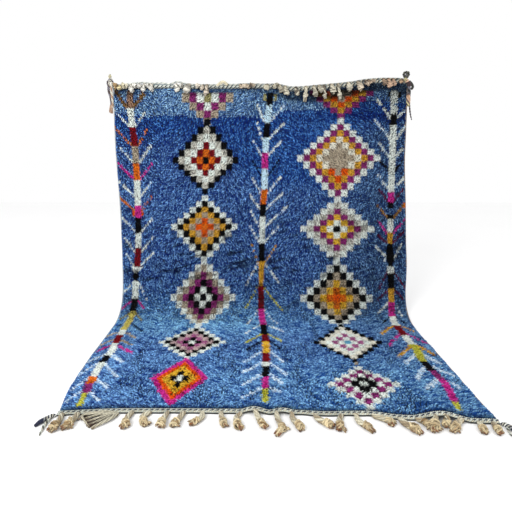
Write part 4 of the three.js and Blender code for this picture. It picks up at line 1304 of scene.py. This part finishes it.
# Loose warps: bend and tip on the ground, height, thickness and how far each is darkened: the raised ones a
# little browned, the low ones dark strands that stand for the painted shadow between them.
LOOSE_WARPS = (
    ((-605, 966), (-676, 980), 9, 4.2, 0.0),
    ((-604, 974), (-668, 990), 1, 5.0, 1.0),
    ((-600, 982), (-668, 1002), 9, 4.2, 0.2),
    ((-596, 988), (-650, 1010), 1, 5.0, 1.0),
    ((-586, 994), (-648, 1018), 9, 4.2, 0.0),
    ((-588, 1000), (-640, 1024), 1, 5.0, 1.0),
    ((-578, 1006), (-636, 1036), 8, 4.6, 0.4),
    ((-578, 1012), (-624, 1040), 1, 5.5, 1.0),
    ((-562, 1012), (-612, 1054), 8, 6.0, 0.0),
    ((-662, 996), (-622, 1046), 15, 4.0, 0.1),
    ((-652, 984), (-680, 1004), 14, 4.0, 0.3),
)
FRINGE_STEP = 0.0065
LOOSE_STEP = 0.0045
STEM_RADIUS = 0.0106
STEM_STRANDS = 5
STEM_PITCH = 0.10
LOOSE_PITCH = 0.075
# A knot is a few windings beside one another: their radii across and upwards, their yarn's radius, how far
# the first lies behind the middle, their spacing, how far each may slant, its turns and its smoothness.
FRONT_KNOT = {
    "radii": (0.0126, 0.0102), "yarn": 0.0032, "windings": 5, "first": 0.0085, "spacing": 0.0042,
    "slants": (1.0, 0.8, 0.8), "turns": 1.3, "steps": 11,
}
KNOT_HEIGHT = 0.0134
KNOT_LEAD = 0.009  # how far a winding runs on along the knot
BRUSH_REACH = 0.0105  # how far the cut ends spread, and how high their middle lies
SHORT_REACH = 0.6  # share of it for the short ends
SHORT_HEIGHT = 0.0085
BRUSH_ENDS = (13, 0.0036)  # how many cut ends a brush has, and their radius
SHORT_ENDS = (6, 0.0034)
BRUSH_FLATNESS = 0.7  # share of its width that a brush is high
CUT_SPREAD = (-0.24, -0.06)  # how far short of the tip the ends are cut, as shares of the brush
BROWN_FROM = (0.40, 1.05)  # shares of its length from which an end is browned
END_TAPER = 0.15
STEM_LIGHT = linear("#e2dcc2")
KNOT_LIGHT = linear("#e2d0a6")
WARP_SHADE = linear("#8a6c42")
CUT_BROWN = linear("#6e3c16")
GROUND_SHADE = ((0.002, 0.14), (0.012, 1.0))  # painted shade near the ground: height above it, and the light left there
WARM_SHADE = np.array((0.85, 1.0, 1.25))  # the painted shade takes less red and more blue out of the cream warps


def on_ground(place, height):
    return np.array((place[0] * MM, -place[1] * MM, GROUND + height))


def warp_lights(rng, strands, base, shade):
    """The lights of a bundle's strands, which are spun from uneven wool."""
    return [mixed(base, shade, rng.uniform(0, 1) ** 1.6) * rng.uniform(0.8, 1.12) for _ in range(strands)]


def lay_knot(skein, rng, centre, axis, size, knot, lead, light, shade):
    """The windings of a knot, along an axis."""
    axis = axis / np.linalg.norm(axis)
    radii = [radius * size for radius in knot["radii"]]
    yarn = knot["yarn"] * size
    for number, dye in enumerate(warp_lights(rng, knot["windings"], light, shade)):
        slanted = axis + np.array([rng.uniform(-most, most) for most in knot["slants"]])
        place = centre + axis * size * (knot["spacing"] * number - knot["first"])
        start = rng.uniform(0, 6)
        skein.wind(place, slanted, radii, yarn, knot["turns"], lead, dye, 5, knot["steps"], start)


def lay_brush(skein, rng, start, tip, up, reach, strands, thickness, light, brown, floor=None):
    """Cut warp ends beyond a knot: a short brush of thin strands, with browned tips where brown is 1."""
    way = tip - start
    aside = np.cross(way, up)
    aside /= np.linalg.norm(aside)
    for _ in range(strands):
        turn = rng.uniform(0, 2 * np.pi)
        far = reach * np.sqrt(rng.uniform(0.05, 1))
        offset = aside * far * np.cos(turn) + up * far * np.sin(turn) * BRUSH_FLATNESS
        finish = tip + offset + way * rng.uniform(*CUT_SPREAD)
        path = route([start + 0.7 * offset, start + 0.5 * way + 1.05 * offset, finish], FRINGE_STEP)
        if floor is not None:
            path[:, 2] = np.maximum(path[:, 2], floor + thickness)
        share = np.linspace(0, 1, len(path))
        tips = np.clip((share - rng.uniform(*BROWN_FROM)) * 5, 0, 0.95) * brown
        dye = mixed(light * rng.uniform(0.55, 1.12), CUT_BROWN * rng.uniform(0.5, 1.6), tips)
        skein.lay(path, thickness * (1 - END_TAPER * share), dye, up, 4)


def lay_front_bundle(skein, rng, size, across, bend, knot, tip, ends):
    leave = (pile_end(across * MM) - LYING_START + SWEEP_EXTENT + GAP + HEADING_WIDTH) / MM
    height = lift(across * MM, 0.0)
    stem = STEM_RADIUS * (0.5 + 0.5 * size)
    stops = [
        (*on_ground((across, leave - 4), height + 0.0052), 0.0065),
        (*on_ground((across, leave + 6), 0.8 * height + 0.0088), 0.0088),
        (*on_ground(bend, stem * 0.98), stem),
        (*on_ground(knot, stem), stem),
    ]
    lights = warp_lights(rng, STEM_STRANDS, STEM_LIGHT, mixed(STEM_LIGHT, WARP_SHADE, 0.8))
    skein.twine(stops, FRINGE_STEP, lights, UP, STEM_PITCH, rng.uniform(0, 6))
    centre = on_ground(knot, KNOT_HEIGHT * size)
    axis = on_ground(knot, 0.0) - on_ground(bend, 0.0)
    lay_knot(skein, rng, centre, axis, size, FRONT_KNOT, KNOT_LEAD, KNOT_LIGHT, WARP_SHADE)
    place = on_ground(tip, BRUSH_REACH)
    reach = BRUSH_REACH * size
    lay_brush(skein, rng, centre, place, UP, reach, *BRUSH_ENDS, KNOT_LIGHT, 1.0, GROUND)
    for end in ends:
        place = on_ground(end, SHORT_HEIGHT)
        lay_brush(skein, rng, centre, place, UP, SHORT_REACH * reach, *SHORT_ENDS, KNOT_LIGHT, 0.8, GROUND)


def lay_loose_warp(skein, rng, root, bend, tip, height, thickness, darkened):
    radius = thickness * MM
    stops = [on_ground(root, 0.0075), on_ground(bend, height * MM + radius), on_ground(tip, radius)]
    path = route(stops, LOOSE_STEP)
    share = np.linspace(0, 1, len(path))
    base = mixed(STEM_LIGHT, WARP_SHADE * 0.2, darkened)
    lights = [mixed(light, CUT_BROWN, 0.4 * share**6) for light in warp_lights(rng, 3, base, base * 0.7)]
    skein.ply(path, radius * (1.05 - END_TAPER * share), lights, UP, LOOSE_PITCH, rng.uniform(0, 6))


def shade_yarns(skein, shade_at):
    """Paints shade on every yarn laid so far, by its place."""
    for number, (points, light) in enumerate(skein.yarns):
        skein.yarns[number] = (points, light * shade_at(points)[..., None] ** WARM_SHADE)


# Painted shade, darker towards the ground.
def ground_shade(points):
    return read(GROUND_SHADE, points[..., 2] - GROUND)


front_skein = Skein()
front_rng = np.random.default_rng(51)
for bundle in FRONT_BUNDLES:
    lay_front_bundle(front_skein, front_rng, *bundle)
for number, loose_warp in enumerate(LOOSE_WARPS):
    root = (LOOSE_ROOT[0] + 3 * (number % 5), LOOSE_ROOT[1] + number)
    lay_loose_warp(front_skein, front_rng, root, *loose_warp)
shade_yarns(front_skein, ground_shade)
front_fringe = front_skein.make("front_fringe_bundles")
warp_looks = yarn_looks("spun_warp", 0.012, 0.0009)
put_on(front_fringe, warp_looks, "warp", "front_fringe")


# The top fringe: the warp ends at the other end, in shorter bundles that are knotted in the same way. They
# flop forward over the pile, except one that stands up and folds over.

# Each bundle: across where it leaves the heading, its knot and tip as [across, rise], and its size.
TOP_BUNDLES = (
    (-786, (-784, -4), (-790, -16), 0.8),
    (-768, (-764, -20), (-762, -32), 0.9),
    (-738, (-744, -2), (-748, -14), 0.8),
    (-726, (-724, -6), (-722, -14), 0.7),
    (-704, (-698, -30), (-692, -44), 1.1),
    (-678, (-684, -6), (-690, -16), 0.8),
    (-658, (-656, -10), (-660, -24), 0.9),
    (-634, (-636, -26), (-642, -40), 0.9),
    (-608, (-612, -6), (-618, -18), 0.8),
    (-596, (-592, -26), (-584, -40), 1.0),
    (-462, (-456, -26), (-452, -44), 1.1),
    (-430, (-436, -8), (-440, -20), 0.8),
    (-396, (-402, -26), (-412, -52), 1.4),
    (-350, (-346, -8), (-344, -22), 0.9),
    (-318, (-322, -20), (-326, -34), 0.8),
    (-298, (-300, -40), (-312, -64), 1.0),
    (-118, (-98, -10), (-72, -16), 1.0),
    (-84, (-60, -6), (-38, -8), 1.1),
    (24, (22, -18), (20, -34), 1.1),
    (62, (74, -6), (86, -14), 1.0),
    (92, (100, -30), (104, -46), 1.1),
    (120, (128, -44), (140, -60), 1.1),
    (180, (186, -44), (194, -62), 1.1),
    (234, (231, -60), (226, -98), 1.0),
    (276, (284, -52), (290, -70), 1.1),
    (304, (314, -30), (322, -44), 1.1),
    (330, (334, -60), (340, -78), 0.9),
    (371, (378, -32), (384, -56), 1.2),
    (404, (414, -56), (417, -82), 0.9),
    (461, (466, -18), (472, -42), 1.2),
    (512, (524, -16), (534, -38), 1.2),
    (548, (560, 2), (572, -8), 0.8),
    (568, (588, 16), (606, 18), 0.8),
    (648, (654, 6), (646, -8), 1.0),
    (674, (680, -2), (684, -22), 1.2),
    (698, (704, 4), (708, -12), 0.9),
    (744, (742, 14), (738, 2), 0.8),
)
STANDING_BUNDLE = ((-252, -14, 3), (-213, 12, 10), (-186, -4, 16))
PILE_FACE = 0.0195  # how far the pile's surface stands out from the back
TOP_STEP = 0.005
TOP_STEM_RADIUS = 0.0092
TOP_STEM_PITCH = 0.045
STANDING_RADIUS = 0.0085
STANDING_PITCH = 0.04
TOP_KNOT = {
    "radii": (0.0118, 0.0082), "yarn": 0.0038, "windings": 3, "first": 0.005, "spacing": 0.005,
    "slants": (0.7, 0.2, 0.5), "turns": 1.5, "steps": 10,
}
TOP_KNOT_OUT = 0.0085  # of its middle from the pile
TOP_KNOT_LEAD = 0.010
TOP_BRUSH_REACH = 0.0080
TOP_BRUSH_OUT = 0.006
TOP_BRUSH_ENDS = (7, 0.0028)
TOP_SHADE = linear("#3c3024")
FACE_SHADE = ((0.017, 0.10), (0.032, 1.0))  # painted shade near the pile: how far out of the back, and the light left there
SHADE_START = (-650, -100)  # across which that shade, and the uneven wool, grow to the full
# The wool of the bundles changes from brown at the left corner to white, to grey cream and to peach.
TOP_LIGHTS = (
    (-792, "#a8743e"), (-776, "#e8d49c"), (-740, "#f6ecc8"), (-700, "#fbf8ee"), (-420, "#f6f4e8"),
    (-330, "#ecdfcc"), (-90, "#d9c6ac"), (30, "#dcd6be"), (460, "#d6d0bc"), (600, "#cdb093"),
    (720, "#d2ac90"), (810, "#c2a35e"),
)
STANDING_LIGHT = linear("#e0d6b8")


def before_pile(across, rise, out):
    """A place in front of the hanging pile, by its distance across, its rise and how far out of the pile."""
    return np.array((across * MM, -(PILE_FACE + swell(across * MM, -rise * MM) + out), rise * MM))


def lay_top_bundle(skein, rng, across, knot, tip, size):
    foot = -pile_start(across * MM) / MM
    fold = across + (knot[0] - across) * 0.3
    stem = TOP_STEM_RADIUS * size
    stops = [
        (across * MM, -0.006, (foot + 18) * MM, 0.0045),
        (across * MM, -0.014, (foot + 18) * MM, stem),
        (*before_pile(fold, foot + 4, 0.006), stem),
        (*before_pile(*knot, 0.007), stem),
    ]
    places, codes = zip(*TOP_LIGHTS)
    light = np.array([np.interp(across, places, channel) for channel in zip(*map(linear, codes))])
    dark = mixed(light * 0.55, TOP_SHADE, np.interp(across, SHADE_START, (0.0, 1.0)))
    skein.twine(stops, TOP_STEP, warp_lights(rng, 3, light, dark), OUT, TOP_STEM_PITCH, rng.uniform(0, 6))
    centre = before_pile(*knot, TOP_KNOT_OUT)
    axis = before_pile(*tip, TOP_KNOT_OUT) - before_pile(fold, foot + 4, TOP_KNOT_OUT)
    lay_knot(skein, rng, centre, axis, size, TOP_KNOT, TOP_KNOT_LEAD * size, light, dark)
    place = before_pile(*tip, TOP_BRUSH_OUT)
    lay_brush(skein, rng, centre, place, OUT, TOP_BRUSH_REACH * size, *TOP_BRUSH_ENDS, light, 0.15)


# Painted shade, darker where yarns lie close to the pile, and less so at the left.
def face_shade(points):
    share = np.interp(points[..., 0] / MM, SHADE_START, (0.45, 1.0))
    return 1 - share * (1 - read(FACE_SHADE, -points[..., 1]))


top_skein = Skein()
top_rng = np.random.default_rng(61)
for bundle in TOP_BUNDLES:
    lay_top_bundle(top_skein, top_rng, *bundle)
shade_yarns(top_skein, face_shade)
stops = [(across * MM, -out * MM, rise * MM, STANDING_RADIUS) for across, rise, out in STANDING_BUNDLE]
lights = warp_lights(top_rng, 4, STANDING_LIGHT, TOP_SHADE)
top_skein.twine(stops, TOP_STEP, lights, OUT, STANDING_PITCH)
top_fringe = top_skein.make("top_fringe_bundles")
put_on(top_fringe, warp_looks, "warp", "top_fringe")


# Corner ties: at each corner the heading cord runs on as a wrapped two-colour yarn. The upper ties have
# loops to hang the rug by, a knot and a tail. The lower ones lie curled on the ground beside the fringe.

TIE_OUT = 0.014  # how far the ties stand out of the back
TIE_STEP = 0.003
TIE_PITCH = 0.020
LOOP_PITCH = 0.022
STUB_RADIUS = 0.0046
LEFT_KNOT = (-0.813, -TIE_OUT, 0.022)
# Windings: their radii across and upwards, their yarn's radius, their turns and how far they run on.
LEFT_WINDING = ((0.0085, 0.0075), 0.0036, 1.5, 0.010)
RIGHT_WINDING = ((0.0090, 0.0075), 0.0042, 1.6, 0.012)
TASSEL_WINDING = ((0.0075, 0.0075), 0.0028, 3.2, 0.012)
# Loops: across, rise, half width, half height and the yarn's radius.
LEFT_TOP_LOOP = (-815, 40, 4, 9, 4.6)
LEFT_LOOP = (-816, 4, 14, 19, 5)
LEFT_INNER_LOOP = (-814, 4, 8, 12, 5)
RIGHT_LOOP = (768, 48, 12, 15, 7.5)
RIGHT_INNER_LOOP = (771, 44, 4, 6, 5.5)
# Hanging yarns: drop below the origin, across and radius.
LEFT_DARK_CORD = ((-4, -822, 5), (18, -826, 7), (44, -824, 7), (68, -818, 6), (92, -817, 5), (118, -817, 5))
LEFT_PALE_CORD = ((0, -806, 6), (22, -811, 6.5), (60, -810, 6.5), (96, -808, 6), (124, -811, 5))
RIGHT_LINK = ((-30, 766, 7), (-12, 780, 8))
RIGHT_CORD = ((-14, 787, 8), (-2, 800, 7.5), (14, 807, 7.5), (27, 800, 7))
RIGHT_DARK_CORD = ((0, 785, 8), (22, 789, 8), (48, 791, 8), (64, 790, 7))
RIGHT_TASSEL = ((52, 788, 9), (74, 787, 12), (112, 789, 10))
RIGHT_TAIL = ((100, 794, 5), (122, 797, 5), (156, 803, 4.5), (187, 812, 3))
# Lying yarns: forward, across and radius.
LEFT_LYING_CORD = ((979, -769, 5), (985, -779, 8), (1001, -790, 9), (1022, -806, 9), (1040, -816, 6))
LEFT_LYING_TAIL = ((1000, -784, 6), (1040, -784, 5.5), (1086, -778, 3))
RIGHT_LYING_CORD = ((1029, 837, 5), (1035, 848, 8), (1051, 857, 9), (1069, 865, 8), (1087, 868, 5))
RIGHT_LYING_TAIL = ((1046, 850, 5), (1078, 843, 4), (1112, 844, 3))
TIE_NAVY = linear("#141c38")
TIE_CREAM = linear("#d8d4c4")
TIE_DARK = linear("#242420")
TIE_OLIVE = linear("#4e4f40")
TIE_GREY = linear("#77747f")
TIE_YELLOW = linear("#c6bc8c")
TIE_TAN = linear("#b4906e")
TIE_PEACH = linear("#c9a58a")
TIE_MAROON = linear("#3a2228")
TIE_BROWN = linear("#4c3c3a")
# The windings of the right knot: rise, across, slant and light.
RIGHT_WINDINGS = (
    (0.024, 0.763, 1.2, TIE_YELLOW * 0.8),
    (0.015, 0.774, 0.5, TIE_PEACH),
    (0.006, 0.783, -0.4, TIE_MAROON),
    (-0.004, 0.788, 0.3, TIE_MAROON),
)


def hanging(table):
    """Stops for a yarn that hangs in front of the corner."""
    return [(across * MM, -TIE_OUT, -drop * MM, radius * MM) for drop, across, radius in table]


def lying_down(table):
    """Stops for a yarn that lies on the ground."""
    return [(*on_ground((across, forward), radius * MM), radius * MM) for forward, across, radius in table]


def hang_cord(skein, table, first, second, pitch=TIE_PITCH):
    skein.twine(hanging(table), TIE_STEP, (first, first, second, second), OUT, pitch)


def lay_loop(skein, across, rise, half_width, half_height, yarn_radius, lights):
    """A loop of two-ply yarn, pulled a little out of round."""
    turn = np.linspace(0, 2 * np.pi * 1.05, 40)
    uneven = 1 + 0.08 * np.sin(2 * turn + 1.0) + 0.08 * np.sin(3 * turn)
    wide = half_width * uneven * np.cos(turn)
    tall = half_height * uneven * np.sin(turn)
    loop = np.stack([wide, -2 * np.sin(2 * turn), tall], -1) * MM
    path = np.array((across * MM, -TIE_OUT, rise * MM)) + loop
    skein.ply(path, yarn_radius * MM, lights, OUT, LOOP_PITCH)


def lay_stub(skein, end, direction, rise, light):
    """The short cord by which a tie comes out of the end of the heading."""
    start = (end * MM + direction * 0.0004, -0.0055, rise * MM, STUB_RADIUS)
    finish = (end * MM + direction * 0.012, -0.0105, rise * MM, STUB_RADIUS)
    skein.twine([start, finish], 0.002, (light, light, light * 0.8), UP, TIE_PITCH)


def finish_tie(skein, node):
    put_on(skein.make(f"yarn_{node}"), tie_looks, "wrapped_yarn", node)


tie_looks = yarn_looks("tie_yarn", 0.008, 0.0006)
tie_rng = np.random.default_rng(71)

skein = Skein()
lay_loop(skein, *LEFT_TOP_LOOP, (TIE_YELLOW, TIE_CREAM))
lay_loop(skein, *LEFT_LOOP, (TIE_BROWN, TIE_GREY))
lay_loop(skein, *LEFT_INNER_LOOP, (TIE_CREAM, TIE_CREAM))
for slant, light in ((-0.7, TIE_OLIVE), (0.2, TIE_CREAM), (0.8, TIE_GREY)):
    skein.wind(LEFT_KNOT, (slant, 0, -1), *LEFT_WINDING, light, steps=12, start=slant * 3)
lay_stub(skein, -802, -1, -15, TIE_CREAM)
hang_cord(skein, LEFT_DARK_CORD, TIE_BROWN, TIE_GREY, 0.040)
hang_cord(skein, LEFT_PALE_CORD, TIE_CREAM, TIE_PEACH * 0.8, 0.040)
brush_start = np.array((-0.815, -TIE_OUT, -0.108))
for across in (-0.822, -0.811):
    brush_tip = np.array((across, -TIE_OUT, -0.156))
    lay_brush(skein, tie_rng, brush_start, brush_tip, OUT, 0.008, 9, 0.0027, TIE_PEACH, 0.2)
finish_tie(skein, "upper_left_tie")

skein = Skein()
lay_loop(skein, *RIGHT_LOOP, (TIE_DARK, TIE_OLIVE))
lay_loop(skein, *RIGHT_INNER_LOOP, (TIE_OLIVE, TIE_GREY))
lay_stub(skein, 776, 1, 10, TIE_YELLOW)
hang_cord(skein, RIGHT_LINK, TIE_YELLOW, TIE_TAN)
for rise, across, slant, light in RIGHT_WINDINGS:
    skein.wind((across, -TIE_OUT, rise), (slant, 0, -1), *RIGHT_WINDING, light, start=slant * 3)
hang_cord(skein, RIGHT_CORD, TIE_DARK, TIE_DARK * 1.6, 0.030)
hang_cord(skein, RIGHT_DARK_CORD, TIE_DARK, TIE_GREY * 0.7, 0.034)
tassel = route(hanging(RIGHT_TASSEL), TIE_STEP)
tassel_yarns = (TIE_TAN, TIE_PEACH * 1.2, TIE_BROWN, TIE_YELLOW, TIE_BROWN * 1.8, TIE_PEACH)
skein.ply(tassel[:, :3], tassel[:, 3], tassel_yarns, OUT, 0.075)
skein.wind(tassel[1, :3], (0, 0, -1), *TASSEL_WINDING, TIE_BROWN)
brush_tip = tassel[-1, :3] - 0.006 * UP
lay_brush(skein, tie_rng, tassel[-3, :3], brush_tip, OUT, 0.009, 9, 0.0026, TIE_YELLOW, 0.2)
skein.twine(hanging(RIGHT_TAIL), TIE_STEP, (TIE_BROWN, TIE_GREY * 0.6), OUT, 0.03)
finish_tie(skein, "upper_right_tie")

for node, cord_table, tail_table in (
    ("lower_left_tie", LEFT_LYING_CORD, LEFT_LYING_TAIL),
    ("lower_right_tie", RIGHT_LYING_CORD, RIGHT_LYING_TAIL),
):
    skein = Skein()
    cord = route(lying_down(cord_table), TIE_STEP)
    navy_end = np.clip(np.linspace(-1.2, 2.2, len(cord)), 0, 1)
    lights = [mixed(light, TIE_NAVY, navy_end) for light in (TIE_NAVY, WHITE_WOOL, TIE_DARK, TIE_CREAM * 0.7)]
    skein.ply(cord[:, :3], cord[:, 3], lights, UP, 0.021)
    skein.twine(lying_down(tail_table), TIE_STEP, (TEAL_WHITE, TIE_CREAM, TIE_OLIVE), UP, 0.03)
    finish_tie(skein, node)


# The studio: a plain pale floor just under the rug, an even white surround, two soft lights and a camera
# that looks down a little on the hanging part.

FLOOR = GROUND - 0.0004
FLOOR_CORNERS = np.array(((-6, -5, FLOOR), (6, -5, FLOOR), (6, 5, FLOOR), (-6, 5, FLOOR)))
# Lights: name, place, aim, size and power.
LIGHTS = (
    ("key", (-1.9, -3.4, 1.5), (0.0, -0.3, -0.7), 1.6, 110),
    ("fill", (2.4, -3.6, 0.4), (0.0, -0.4, -0.8), 2.4, 30),
)
CAMERA_PLACE = (-0.034, -2.411, -0.321)
CAMERA_TILT = 80  # degrees up from straight down
CAMERA_LENS = 30.23
CAMERA_SENSOR = 36
CAMERA_SHIFT = -0.0688

floor = mesh_object("studio_floor", FLOOR_CORNERS, [np.array([[0, 1, 2, 3]])])
floor_looks = Looks("pale_floor")
paint = floor_looks.grain(0.4, 3)
floor_looks.shade(
    Base_Color=floor_looks.brighten((0.95, 0.95, 0.95), 0.985 + 0.02 * paint),
    Roughness=0.8 + 0.05 * paint,
    Specular_IOR_Level=0.2,
)
floor_looks.dress(floor)

world = bpy.context.scene.world or bpy.data.worlds.new("studio")
bpy.context.scene.world = world
world.use_nodes = True
surround = world.node_tree.nodes["Background"]
surround.inputs["Color"].default_value = (1.0, 1.0, 1.0, 1.0)
surround.inputs["Strength"].default_value = 1.0

for name, place, aim, size, power in LIGHTS:
    data = bpy.data.lights.new(name, "AREA")
    data.size = size
    data.energy = power
    light = bpy.data.objects.new(name, data)
    light.location = place
    toward = Vector(aim) - light.location
    light.rotation_euler = toward.to_track_quat("-Z", "Y").to_euler()
    bpy.context.collection.objects.link(light)

camera_data = bpy.data.cameras.new("camera")
camera_data.sensor_width = CAMERA_SENSOR
camera_data.lens = CAMERA_LENS
camera_data.shift_y = CAMERA_SHIFT
camera = bpy.data.objects.new("camera", camera_data)
camera.location = CAMERA_PLACE
camera.rotation_euler = (np.radians(CAMERA_TILT), 0, 0)
bpy.context.collection.objects.link(camera)
bpy.context.scene.camera = camera
bpy.context.scene.view_settings.view_transform = "Standard"
